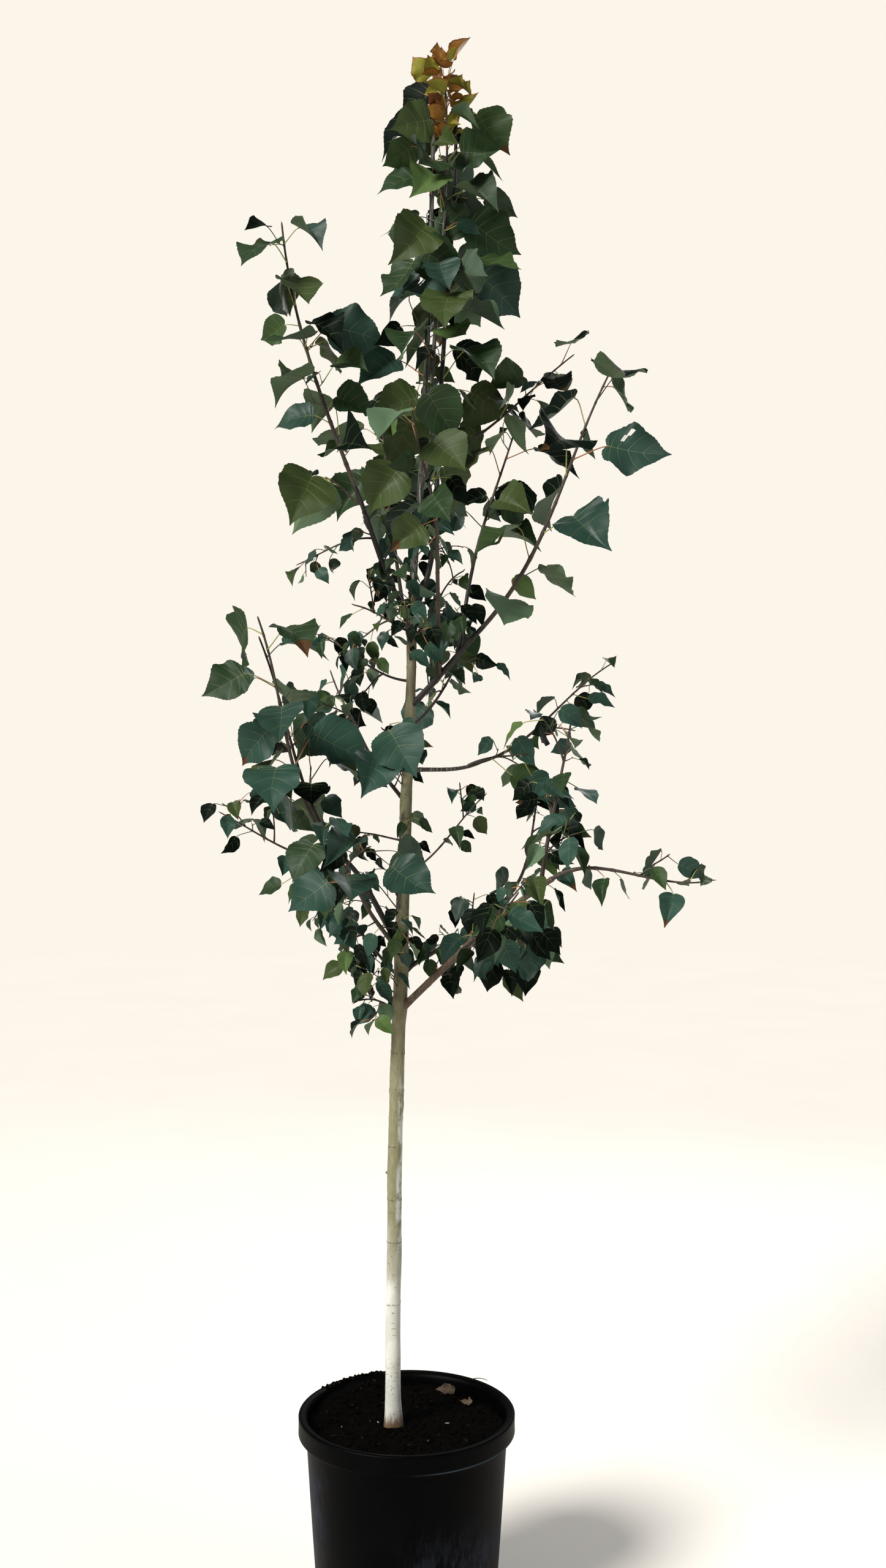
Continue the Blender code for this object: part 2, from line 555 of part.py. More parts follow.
def solid(name, shape, material):
    """An object from points and faces, with its faces pointing out."""
    mesh = bpy.data.meshes.new(name)
    mesh.from_pydata([tuple(p) for p in shape[0]], [], shape[1])
    made = bmesh.new()
    made.from_mesh(mesh)
    bmesh.ops.recalc_face_normals(made, faces=made.faces)
    made.to_mesh(mesh)
    made.free()
    mesh.materials.append(material)
    piece = bpy.data.objects.new(name, mesh)
    bpy.context.scene.collection.objects.link(piece)
    return piece


def closed(mesh):
    """True if every edge of a mesh joins two faces."""
    made = bmesh.new()
    made.from_mesh(mesh)
    whole = all(edge.is_manifold for edge in made.edges)
    made.free()
    return whole


def largest_body(piece):
    """Drops loose scraps, so that only the piece's largest body stays."""
    made = bmesh.new()
    made.from_mesh(piece.data)
    waiting, bodies = set(made.verts), []
    while waiting:
        body, edge = set(), [waiting.pop()]
        while edge:
            vertex = edge.pop()
            body.add(vertex)
            near = {e.other_vert(vertex) for e in vertex.link_edges} & waiting
            waiting -= near
            edge.extend(near)
        bodies.append(body)
    bodies.sort(key=len)
    scraps = [v for body in bodies[:-1] for v in body]
    bmesh.ops.delete(made, geom=scraps, context="VERTS")
    made.to_mesh(piece.data)
    made.free()


def join(piece, others, operation):
    """Joins other objects to a piece, or cuts them from it, with one Boolean, and removes them."""
    group = bpy.data.collections.new("tools")
    bpy.context.scene.collection.children.link(group)
    for other in others:
        bpy.context.scene.collection.objects.unlink(other)
        group.objects.link(other)
    modifier = piece.modifiers.new("join", "BOOLEAN")
    modifier.operation = operation
    modifier.operand_type = "COLLECTION"
    modifier.collection = group
    for solver in ("EXACT", "MANIFOLD"):
        modifier.solver = solver
        bpy.context.view_layer.update()
        evaluated = piece.evaluated_get(bpy.context.evaluated_depsgraph_get())
        mesh = bpy.data.meshes.new_from_object(evaluated)
        if closed(mesh):
            break
    mesh.name = piece.name
    piece.modifiers.clear()
    piece.data = mesh
    for other in others:
        bpy.data.objects.remove(other)
    bpy.data.collections.remove(group)
    largest_body(piece)


def carved_limb(name, route, sides, material, neighbours):
    """A limb whose foot is cut to sit clear of the limbs that it leaves."""
    piece = solid(name, tube(route, sides), material)
    cutters = [solid("cutter", tube(other, n, swell=GAP), material) for other, n in neighbours]
    if cutters:
        join(piece, cutters, "DIFFERENCE")
    return piece


def inner_radius(height):
    """The radius of the pot's inside at a height."""
    share = (height - POT_FLOOR) / (POT_HEIGHT - POT_MOUTH - POT_FLOOR)
    return between((POT_FOOT_RADIUS - POT_WALL, POT_WALL_RADIUS - POT_WALL), share)


def pot_object(material):
    """The pot: its profile is turned about the axis."""
    lip_foot = POT_HEIGHT - POT_LIP_DEPTH
    profile = (
        (0.0, 0.0),
        (POT_FOOT_RADIUS - 0.004, 0.0),
        (POT_FOOT_RADIUS, 0.004),
        (POT_WALL_RADIUS, lip_foot),
        (POT_LIP_RADIUS - 0.002, lip_foot + 0.002),
        (POT_LIP_RADIUS, POT_HEIGHT - 0.008),
        (POT_LIP_RADIUS - 0.006, POT_HEIGHT),
        (inner_radius(POT_HEIGHT - POT_MOUTH), POT_HEIGHT - POT_MOUTH),
        (inner_radius(POT_FLOOR), POT_FLOOR),
        (0.0, POT_FLOOR),
    )
    made = bmesh.new()
    chain = [made.verts.new((r, 0.0, z)) for r, z in profile]
    edges = [made.edges.new(pair) for pair in zip(chain, chain[1:])]
    bmesh.ops.spin(
        made, geom=chain + edges, axis=(0, 0, 1), cent=(0, 0, 0), angle=2 * math.pi,
        steps=POT_SEGMENTS, use_merge=True,
    )
    bmesh.ops.remove_doubles(made, verts=made.verts, dist=0.00002)
    bmesh.ops.recalc_face_normals(made, faces=made.faces)
    mesh = bpy.data.meshes.new("pot")
    made.to_mesh(mesh)
    made.free()
    mesh.materials.append(material)
    piece = bpy.data.objects.new("pot", mesh)
    bpy.context.scene.collection.objects.link(piece)


def soil_height(x, y):
    """The soil's surface: level round the trunk, heaped towards the back left, and a little uneven."""
    away = math.hypot(x - TRUNK_FOOT[0], y - TRUNK_FOOT[1])
    open_ground = min(1.0, max(0.0, (away - SOIL_FLAT_RADIUS) / 0.05))
    bearing = math.degrees(math.atan2(y, x))
    turn = (bearing - SOIL_HEAP_BEARING + 180) % 360 - 180
    heap = SOIL_HEAP * math.exp(-((turn / SOIL_HEAP_SPREAD) ** 2)) * min(1.0, math.hypot(x, y) / 0.16) ** 2
    rough = 0.003 * math.sin(x * 70 + 1.3) * math.cos(y * 55 - 0.4)
    return SOIL_LEVEL + open_ground * (heap + rough)


def soil_object(material):
    """The soil and roots in the pot: one solid that stands clear of the pot's wall and floor."""
    points, faces = [], []
    base = POT_FLOOR + GAP
    flat = math.cos(math.pi / POT_SEGMENTS)
    foot = inner_radius(base) * flat - GAP
    edge = inner_radius(SOIL_LEVEL - SOIL_EDGE) * flat - GAP
    for k in range(SOIL_SEGMENTS):
        angle = 2 * math.pi * k / SOIL_SEGMENTS
        points.append((foot * math.cos(angle), foot * math.sin(angle), base))
    for ring in range(SOIL_RINGS, 0, -1):
        reach = edge * ring / SOIL_RINGS
        for k in range(SOIL_SEGMENTS):
            angle = 2 * math.pi * k / SOIL_SEGMENTS
            x, y = reach * math.cos(angle), reach * math.sin(angle)
            points.append((x, y, soil_height(x, y)))
    points.append((0.0, 0.0, soil_height(0.0, 0.0)))
    for ring in range(SOIL_RINGS):
        for k in range(SOIL_SEGMENTS):
            a, b = ring * SOIL_SEGMENTS + k, ring * SOIL_SEGMENTS + (k + 1) % SOIL_SEGMENTS
            faces.append((a, b, b + SOIL_SEGMENTS, a + SOIL_SEGMENTS))
    inner = SOIL_RINGS * SOIL_SEGMENTS
    for k in range(SOIL_SEGMENTS):
        faces.append((inner + k, inner + (k + 1) % SOIL_SEGMENTS, inner + SOIL_SEGMENTS))
    faces.append(tuple(range(SOIL_SEGMENTS - 1, -1, -1)))
    solid("soil", (points, faces), material)


def clear_scene():
    """Removes every object."""
    for item in list(bpy.data.objects):
        bpy.data.objects.remove(item)


def near_foot(route, others):
    """The limbs that come close to the first third of a route, which its foot is cut clear of."""
    foot = route.points[: max(2, len(route.points) // 3) + 1]
    found = []
    for other, sides in others:
        reach = other.radii.max() + route.radii.max() + FOOT_ROOM
        samples = np.array([other.point(share) for share in np.linspace(0, 1, FOOT_SAMPLES)])
        gaps = np.linalg.norm(foot[:, None, :] - samples[None, :, :], axis=2)
        if gaps.min() < reach + other.length / FOOT_SAMPLES:
            found.append((other, sides))
    return found


def build_limbs(space, barks):
    """The trunk and boughs. Returns their routes by name."""
    routes = {"trunk": trunk_route()}
    solid("trunk", tube(routes["trunk"], TRUNK_SIDES), barks["pale"])
    space.add("trunk", tube(routes["trunk"], TRUNK_SIDES))
    made = [(routes["trunk"], TRUNK_SIDES)]
    for limb in BOUGHS:
        route = limb_route(limb, routes[limb.parent], BOUGH_STEP)
        carved_limb(limb.name, route, BOUGH_SIDES, barks["brown"], near_foot(route, made))
        routes[limb.name] = route
        made.append((route, BOUGH_SIDES))
        space.add(limb.name, tube(route, BOUGH_SIDES))
    return routes, made


def build_masses(space, routes, made, leaf_material):
    """The masses of foliage: every stem first, then each mass's twigs and leaves where there is room."""
    stems = {}
    for mass in MASSES:
        route = limb_route(mass.stem, routes[mass.stem.parent], STEM_STEP)
        stems[mass.stem.name] = (route, near_foot(route, made))
        made.append((route, STEM_SIDES))
        space.add(mass.stem.name, tube(route, STEM_SIDES))
    for mass in MASSES:
        stem, neighbours = stems[mass.stem.name]
        piece = carved_limb(f"foliage_{mass.stem.name}", stem, STEM_SIDES, leaf_material, neighbours)
        growth, bearers = [], [(None, mass.stem.name, stem)]
        for number, candidates in mass_twigs(mass, stem):
            owner = f"{mass.stem.name} {number}"
            route = space.take_twig(candidates, mass.stem.name, owner)
            if route is not None:
                growth.append(tube(route, TWIG_SIDES))
                bearers.append((number, owner, route))
        for number, owner, route in bearers:
            for candidates in mass_leaves(mass, route, number):
                leaf = space.take_leaf(candidates, owner)
                if leaf is not None:
                    growth.append(leaf_shape(leaf))
        join(piece, [solid("growth", shape, leaf_material) for shape in growth], "UNION")


def main():
    """Builds the potted tree."""
    clear_scene()
    barks = {
        "pale": finish("bark_pale", (0.58, 0.54, 0.42), 0.75),
        "brown": finish("bark_brown", (0.09, 0.06, 0.045), 0.65),
    }
    pot_object(finish("pot_black", (0.012, 0.012, 0.014), 0.5))
    soil_object(finish("soil_dark", (0.015, 0.012, 0.010), 0.95))
    space = Space()
    routes, made = build_limbs(space, barks)
    build_masses(space, routes, made, finish("leaf_green", (0.035, 0.10, 0.045), 0.5))


main()
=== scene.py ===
"""The looks of a young quaking aspen in a black nursery pot.

Boughs, twigs and leaves grow again by the rule that placed the solids, each leaf where its solid has one, and
are carried on to finer spurs and shoots within the same reach. Every leaf gets its own outline with teeth,
veins and waves, every limb its bark. Metres, +Z up, seen along +Y.
"""

from __future__ import annotations

import json
import logging
import math
from dataclasses import dataclass, field
from enum import Enum
from functools import cache
from random import Random
from typing import Callable, Iterable, Iterator, NamedTuple, Sequence

import bpy
import numpy as np
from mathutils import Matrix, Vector, noise
from mathutils.kdtree import KDTree

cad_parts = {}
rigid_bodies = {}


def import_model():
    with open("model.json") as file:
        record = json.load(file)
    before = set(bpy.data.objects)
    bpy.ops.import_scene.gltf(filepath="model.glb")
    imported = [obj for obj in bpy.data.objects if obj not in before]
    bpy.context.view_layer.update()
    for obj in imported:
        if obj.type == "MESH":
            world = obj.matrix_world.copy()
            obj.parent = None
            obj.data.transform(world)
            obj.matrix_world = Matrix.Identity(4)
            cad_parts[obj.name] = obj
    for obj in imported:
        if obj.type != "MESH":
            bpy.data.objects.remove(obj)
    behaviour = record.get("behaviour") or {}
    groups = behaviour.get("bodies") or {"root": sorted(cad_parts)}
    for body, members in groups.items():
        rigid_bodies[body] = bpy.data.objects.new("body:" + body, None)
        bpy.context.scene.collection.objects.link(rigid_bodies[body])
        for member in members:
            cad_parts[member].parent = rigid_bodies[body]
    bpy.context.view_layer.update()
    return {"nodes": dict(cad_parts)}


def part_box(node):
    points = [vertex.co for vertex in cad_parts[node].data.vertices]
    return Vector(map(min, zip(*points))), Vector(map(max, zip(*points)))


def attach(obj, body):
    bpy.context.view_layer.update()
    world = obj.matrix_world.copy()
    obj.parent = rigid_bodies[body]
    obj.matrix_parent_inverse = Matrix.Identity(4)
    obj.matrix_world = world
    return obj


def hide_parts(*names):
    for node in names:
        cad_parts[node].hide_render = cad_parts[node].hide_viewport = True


LOG = logging.getLogger("aspen")
Array = np.ndarray
Pair = tuple[float, float]
Colour = Point = tuple[float, float, float]

# The growth rule, in the solids' own sizes.

GAP = 0.0003
SOIL_LEVEL = 0.392
TRUNK_FOOT = (-0.0262, 0.0, SOIL_LEVEL + GAP)
TRUNK_FORK = (0.012, 0.0, 2.016)
TRUNK_THICK = (0.0295, 0.0165)
TRUNK_SHOULDER = 0.55
FLARE = 0.0045
FLARE_HEIGHT = 0.035
TRUNK_STEP, BOUGH_STEP, STEM_STEP, TWIG_STEP = 0.15, 0.05, 0.07, 0.04
STEM_SIDES, TWIG_SIDES = 5, 3
TWIG_BARE = 0.38
TWIG_START = 0.7
TWIG_UNEVEN = 0.5
TWIG_TURN = 60.0
SEED_TURN = 50.0
TWIG_LENGTHS = (0.75, 1.25)
TWIG_LEAN = 0.6
TWIG_LIFT = (-0.1, 0.4)
TWIG_STEEPER = 15.0
TWIG_BEND = (-30.0, 20.0)
TWIG_THICK = (0.0036, 0.0026)
TWIG_OF_STEM = 1.6
LAST_TWIG = 0.92
LEAF_START, LEAF_UNEVEN = 0.3, 0.6
LAST_LEAF = 0.985
HANDLE = 0.36
EAST, NORTH, UP = np.eye(3)
FLAT = np.array((1.0, 1.0, 0.0))
LIGHT = np.array((-0.2, -0.85, 0.45))
DIVERGENCE = 137.5
DIVERGENCE_SPREAD = 40.0
STALK_RISE = (25.0, 55.0)
STALK_SAG = 0.15
YAW_SPREAD = 60.0
FACE_SPREAD = 1.3
# Finer leaves face more ways than the solids' leaves do.
FINER_SPREAD = 2.6
FACE_OUT = 0.35
FACE_UP = 0.15
BLADE_FOLLOW = 0.3
YOUNG_LENGTH = 0.46
YOUNG_RISE = (48.0, 78.0)
YOUNG_FALL = (35.0, -70.0)
YOUNG_STALK = 1.7
YOUNG_CROWDING = 0.62
PETIOLE = 0.56
PETIOLE_FACTORS = (0.7, 1.3)
STALK_SUNK = 0.0008
BLADE_WIDTH = 0.95
BLADE_MIDDLE = 0.45
WIDTH_FACTORS = (0.88, 1.12)
BLADE_CUP = 0.07
BLADE_CURL = 0.1
LARGE_LEAF = 0.07
# The reach in millimetres of the shoots with a single leaf, which stands straight on its limb.
SINGLE_REACH = (3, 8)
CRUMB_SHAPE = (1.0, 1.0, 0.85)
# The turns in degrees that a twig or leaf may have been given to find room.
TURNS = (0.0, 35.0, -35.0, 75.0, -75.0, 120.0)
# How far finer growth may reach past the box of its mass.
OVERHANG = 0.004
# How near a vertex of the solids a leaf's tip or a twig's end has to lie to be the one that stands there.
MATCH = 0.0006


class Limb(NamedTuple):
    """A limb: where it leaves its parent (1 is the tip), its own tip, how steeply it leaves and arrives in
    degrees, and its diameters at foot and tip."""

    name: str
    parent: str
    at: float
    tip: Point
    leave: float
    arrive: float
    thick: Pair


class Mass(NamedTuple):
    """A mass of foliage: its stem, the bare share of the stem, leaves on the stem, their lengths and
    droop, its seed, the spacing and seed of its spurs, if any, side twigs with their length and leaves, and
    where the leaves start to be young."""

    stem: Limb
    bare: float
    leaves: int
    blade: Pair
    droop: Pair
    seed: int
    spurs: tuple[float, int] | None = None
    twigs: int = 0
    twig_reach: float = 0.0
    twig_leaves: int = 0
    young: float = 1.0


class Shoot(NamedTuple):
    """Small leafy twigs straight on a limb: the shares of it between which they stand, how many, how far they
    reach, the leaves on each, the blades' lengths, how far they droop in degrees, and the seed."""

    limb: str
    shares: Pair
    count: int
    reach: Pair
    leaves: int
    blade: Pair
    droop: Pair
    seed: int


class Leaf(NamedTuple):
    """A leaf: root on its twig, blade base, the blade's axes (along, across, face), length, width, age, and
    the key of its own random draws."""

    root: Array
    base: Array
    along: Array
    across: Array
    face: Array
    length: float
    width: float
    young: bool
    key: str


def metres(sizes: Iterable[float]) -> tuple[float, ...]:
    """Sizes in millimetres as metres."""
    return tuple(size / 1000 for size in sizes)


# Rows in the order of the fields above, with every size in millimetres.
BOUGHS = tuple(Limb(*row) for row in (
    ("leader_left", "trunk", 1, (29, 4, 2270), 88, 88, (15.5, 11.5)),
    ("leader_middle", "leader_left", 0.78, (45, -14, 2360), 66, 87, (9.5, 9)),
    ("leader_right", "trunk", 0.972, (61, 10, 2300), 62, 87, (11, 9.5)),
    ("bough_upper_left", "trunk", 0.965, (-100, -35, 2215), 52, 66, (10.5, 8.5)),
    ("bough_upper_right", "trunk", 0.86, (148, -80, 1940), 40, 42, (12.5, 9.5)),
    ("bough_right_inner", "bough_upper_right", 0.66, (128, 0, 2060), 70, 64, (8.5, 7)),
    ("bough_upper_front", "bough_upper_right", 0.4, (60, -250, 2080), 45, 60, (8.5, 7)),
    ("bough_upper_back", "trunk", 0.93, (-35, 190, 2170), 45, 58, (9, 7)),
    ("bough_middle_right", "trunk", 0.785, (146, 80, 1684), 4, 22, (9, 7)),
    ("bough_middle_back", "trunk", 0.745, (-100, 180, 1740), 30, 45, (8.5, 6.5)),
    ("bough_lower_left", "trunk", 0.574, (-127, -50, 1503), 50, 38, (12, 9)),
    ("bough_lower_right", "trunk", 0.496, (274, -140, 1464), 42, 32, (14.5, 10.5)),
    ("bough_lower_back", "trunk", 0.541, (200, 200, 1400), 25, 38, (10, 8)),
    ("bough_lower_front", "trunk", 0.56, (-80, -200, 1440), 38, 42, (9, 7)),
))

MASSES = tuple(Mass(Limb(*stem), *rest) for stem, *rest in (
    (("top_left", "leader_left", 1, (52, 4, 2953), 88, 89, (11.2, 7.8)),
     0.1, 10, (75, 120), (15, 50), 347, (40, 3)),
    (("top_middle", "leader_middle", 1, (74, -14, 3004), 87, 94, (8.8, 3.4)),
     0.08, 20, (75, 120), (15, 55), 103, (28, 43), 0, 0, 0, 0.78),
    (("top_right", "leader_right", 1, (96, 10, 2951), 87, 90, (9.2, 6.6)),
     0.06, 11, (75, 120), (15, 50), 160, (120, 53)),
    (("upper_left", "bough_upper_left", 1, (-235, -80, 2700), 66, 84, (8.3, 3.6)),
     0.03, 12, (70, 115), (5, 45), 466, (55, 5)),
    (("upper_left_twig", "bough_upper_left", 0.62, (-215, 45, 2075), 8, -18, (4, 2.4)),
     0.35, 4, (36, 50), (20, 60), 34, (28, 7)),
    (("right_outer", "bough_upper_right", 1, (383, -140, 2410), 42, 62, (9.2, 3.4)),
     0.08, 10, (80, 125), (5, 45), 350),
    (("right_inner", "bough_right_inner", 1, (215, 70, 2350), 64, 70, (6.8, 3.2)),
     0.1, 7, (70, 110), (10, 50), 583, (120, 35)),
    (("right_diagonal", "leader_right", 0.93, (335, 150, 2516), 26, 38, (6.2, 2.8)),
     0.22, 7, (50, 85), (5, 45), 507, (55, 8)),
    (("upper_front", "bough_upper_front", 1, (15, -330, 2300), 60, 78, (6.8, 3.6)),
     0.05, 8, (70, 110), (25, 60), 465, (60, 13)),
    (("upper_back", "bough_upper_back", 1, (-60, 330, 2430), 58, 76, (6.8, 3.6)),
     0.05, 9, (70, 110), (15, 55), 245, (40, 2)),
    (("fork_left", "trunk", 0.95, (-100, -30, 1985), 20, 10, (5, 2.8)),
     0.25, 3, (30, 48), (20, 70), 82, (120, 36), 2, 80, 4),
    (("fork_right", "trunk", 0.945, (110, 40, 2060), 30, 25, (5, 2.8)),
     0.3, 3, (30, 52), (20, 70), 72, (28, 21), 2, 80, 4),
    (("fork_front", "trunk", 0.915, (0, -110, 1980), 25, 35, (5, 2.8)),
     0.3, 3, (30, 52), (30, 70), 12, (40, 22), 1, 70, 4),
    (("middle_left", "trunk", 0.892, (-165, -40, 1925), 2, 22, (5.2, 2.6)),
     0.3, 4, (28, 46), (30, 75), 104, (80, 18), 3, 80, 3),
    (("middle_back", "bough_middle_back", 1, (-170, 300, 1880), 45, 55, (6.3, 3)),
     0.05, 5, (45, 75), (20, 60), 68, (40, 22), 2, 90, 3),
    (("right_back", "trunk", 0.835, (130, 300, 1960), 18, 42, (7, 3)),
     0.4, 4, (45, 80), (20, 60), 31, (60, 36), 2, 90, 3),
    (("middle_right", "bough_middle_right", 1, (424, 200, 1892), 22, 28, (6.8, 2.6)),
     0.08, 7, (40, 70), (10, 50), 56, None, 2, 90, 4),
    (("trunk_left", "trunk", 0.7, (-100, 20, 1545), 8, 0, (4.2, 2.4)),
     0.35, 3, (28, 42), (25, 70), 53, (80, 35), 1, 60, 3),
    (("trunk_right", "trunk", 0.66, (150, -60, 1618), 22, 40, (4.6, 2.4)),
     0.35, 4, (30, 48), (15, 60), 53, (80, 44), 1, 60, 3),
    (("left_upright", "bough_lower_left", 1, (-277, -100, 1950), 38, 70, (8.8, 4)),
     0.14, 9, (85, 125), (10, 50), 415, (120, 16)),
    (("left_second", "bough_lower_left", 0.86, (-290, 30, 1925), 45, 66, (7.6, 3.8)),
     0.16, 5, (70, 105), (10, 50), 142, (120, 1), 1, 70, 3),
    (("left_level", "bough_lower_left", 0.94, (-345, -110, 1585), -4, 28, (5.6, 2.4)),
     0.2, 5, (40, 58), (15, 65), 61, (80, 60), 3, 90, 3),
    (("left_inner", "bough_lower_left", 0.55, (-190, 40, 1400), 12, 5, (5, 2.4)),
     0.2, 4, (36, 52), (40, 80), 111, (40, 9), 2, 80, 3),
    (("left_back", "trunk", 0.535, (-200, 280, 1420), 22, 12, (7, 2.8)),
     0.35, 4, (36, 56), (30, 75), 9, (28, 35), 2, 90, 3),
    (("left_front", "bough_lower_front", 1, (-140, -320, 1580), 42, 58, (6.8, 3.2)),
     0.05, 5, (55, 95), (20, 60), 323, (90, 15), 1, 80, 4),
    (("lowest_left", "trunk", 0.488, (-90, -50, 1225), 55, -10, (5.2, 2.6)),
     0.3, 4, (36, 50), (45, 80), 48, (28, 25), 2, 60, 3),
    (("right_level", "bough_lower_right", 1, (560, -200, 1465), -12, 14, (8, 2.6)),
     0.1, 7, (45, 70), (15, 60), 6, None, 1, 70, 3),
    (("right_upright", "bough_lower_right", 0.93, (311, -110, 1759), 82, 80, (8.8, 3.6)),
     0.1, 6, (45, 75), (10, 55), 85, (80, 4), 3, 100, 4),
    (("right_hanging", "bough_lower_right", 0.62, (230, -60, 1330), -5, -20, (5.2, 2.6)),
     0.2, 5, (45, 70), (45, 80), 58, (28, 12), 3, 90, 4),
    (("right_front", "bough_lower_right", 0.45, (200, -330, 1450), 20, 30, (6.8, 2.8)),
     0.25, 5, (45, 70), (25, 70), 135, (60, 8), 3, 90, 3),
    (("lower_back", "bough_lower_back", 1, (280, 360, 1620), 38, 58, (7.8, 3.2)),
     0.05, 5, (45, 75), (20, 60), 41, (90, 53), 2, 100, 3),
    (("lower_inner", "bough_lower_back", 0.5, (190, 70, 1370), 10, 0, (5, 2.6)),
     0.25, 4, (36, 56), (40, 80), 72, (28, 18), 2, 80, 3),
    (("upper_left_low", "bough_upper_left", 0.86, (-150, -50, 2225), 20, 15, (4.6, 3)),
     0.6, 2, (105, 122), (35, 65), 429, (55, 37)),
    (("trunk_high", "trunk", 0.8, (-45, -45, 1745), 25, 20, (4.6, 3)),
     0.45, 2, (85, 110), (25, 55), 135, (28, 22)),
    (("middle_inner", "bough_middle_right", 0.82, (235, 60, 1700), 30, 10, (4.6, 2.8)),
     0.3, 3, (50, 85), (30, 70), 90, (120, 28), 1, 70, 3),
))

SHOOTS = tuple(Shoot(*row) for row in (
    ("trunk", (0.49, 0.55), 7, (40, 120), 4, (30, 48), (40, 80), 16),
    ("trunk", (0.55, 0.62), 5, (40, 120), 4, (30, 46), (30, 75), 394),
    ("trunk", (0.62, 0.72), 3, (40, 100), 3, (28, 44), (20, 70), 206),
    ("trunk", (0.74, 0.84), 4, (40, 100), 3, (28, 46), (20, 70), 332),
    ("trunk", (0.93, 0.99), 7, (40, 110), 4, (28, 48), (20, 75), 211),
    ("leader_left", (0.02, 0.45), 6, (30, 100), 4, (28, 50), (20, 75), 485),
    ("leader_left", (0.45, 0.95), 4, (30, 80), 3, (30, 55), (20, 75), 463),
    ("leader_right", (0.05, 0.8), 4, (30, 90), 3, (28, 55), (20, 75), 334),
    ("bough_upper_left", (0.1, 0.8), 5, (30, 80), 3, (28, 50), (20, 75), 345),
    ("bough_upper_right", (0.15, 0.9), 6, (30, 90), 3, (28, 50), (20, 75), 13),
    ("bough_upper_back", (0.2, 0.9), 4, (30, 80), 3, (30, 50), (20, 75), 297),
    ("bough_middle_back", (0.2, 0.9), 5, (30, 100), 3, (30, 50), (30, 80), 47),
    ("bough_lower_left", (0.2, 0.9), 6, (30, 100), 3, (30, 50), (40, 80), 190),
    ("bough_lower_right", (0.15, 0.55), 5, (30, 100), 3, (32, 55), (30, 80), 278),
    ("bough_lower_right", (0.55, 0.98), 5, (30, 100), 3, (32, 55), (30, 80), 425),
    ("bough_lower_back", (0.2, 0.9), 6, (30, 100), 3, (30, 50), (30, 80), 229),
    ("bough_lower_front", (0.2, 0.9), 4, (30, 80), 3, (30, 50), (30, 80), 183),
)) + tuple(Shoot(*place, SINGLE_REACH, 1, *leaf) for *place, leaf in (
    ("top_left", (0.05, 0.55), 3, ((70, 110), (5, 45), 280)),
    ("top_left", (0.55, 0.97), 3, ((60, 100), (5, 45), 249)),
    ("top_middle", (0.1, 0.75), 3, ((60, 100), (5, 45), 115)),
    ("top_right", (0.05, 0.55), 3, ((70, 110), (5, 45), 59)),
    ("top_right", (0.55, 0.97), 3, ((60, 100), (5, 45), 174)),
    ("upper_left", (0.1, 0.95), 3, ((50, 90), (5, 50), 442)),
    ("right_outer", (0.1, 0.95), 2, ((50, 80), (5, 50), 387)),
    ("right_inner", (0.1, 0.95), 2, ((50, 80), (5, 50), 263)),
    ("left_upright", (0.1, 0.95), 2, ((50, 80), (5, 50), 463)),
    ("right_level", (0.2, 0.95), 2, ((40, 60), (5, 60), 51)),
    ("right_upright", (0.2, 0.95), 2, ((40, 70), (5, 60), 443)),
    ("middle_right", (0.1, 0.95), 2, ((40, 60), (5, 60), 154)),
))


def unit(vector: Array) -> Array:
    """The vector at length 1."""
    return vector / np.linalg.norm(vector)


def units(vectors: Array) -> Array:
    """Each vector of an array at length 1."""
    return vectors / np.maximum(np.linalg.norm(vectors, axis=-1, keepdims=True), 1e-12)


def between(pair: Sequence[float], share: float) -> float:
    """The value at a share of the way from the first to the second of a pair."""
    return pair[0] + (pair[1] - pair[0]) * share


def bell(distance: Array, width: float) -> Array:
    """A smooth bump of height 1 at no distance, which has died away at about twice its width."""
    return np.exp(-((distance / width) ** 2))


def draws(rng: Random) -> list[float]:
    """The nine random numbers that a leaf is made from."""
    return [rng.random() for _ in range(9)]


def circle(count: int) -> Array:
    """So many angles evenly round a circle."""
    return np.linspace(0.0, 2 * math.pi, count, endpoint=False)


def spokes(first: Array, second: Array, count: int) -> Array:
    """So many directions evenly round an axis, from the first of two that are square to it to the second."""
    turns = circle(count)[:, None]
    return first[..., None, :] * np.cos(turns) + second[..., None, :] * np.sin(turns)


def turned(first: Array, second: Array, degrees: float) -> Array:
    """A direction turned by an angle from a first one towards a second that is square to it."""
    return first * math.cos(math.radians(degrees)) + second * math.sin(math.radians(degrees))


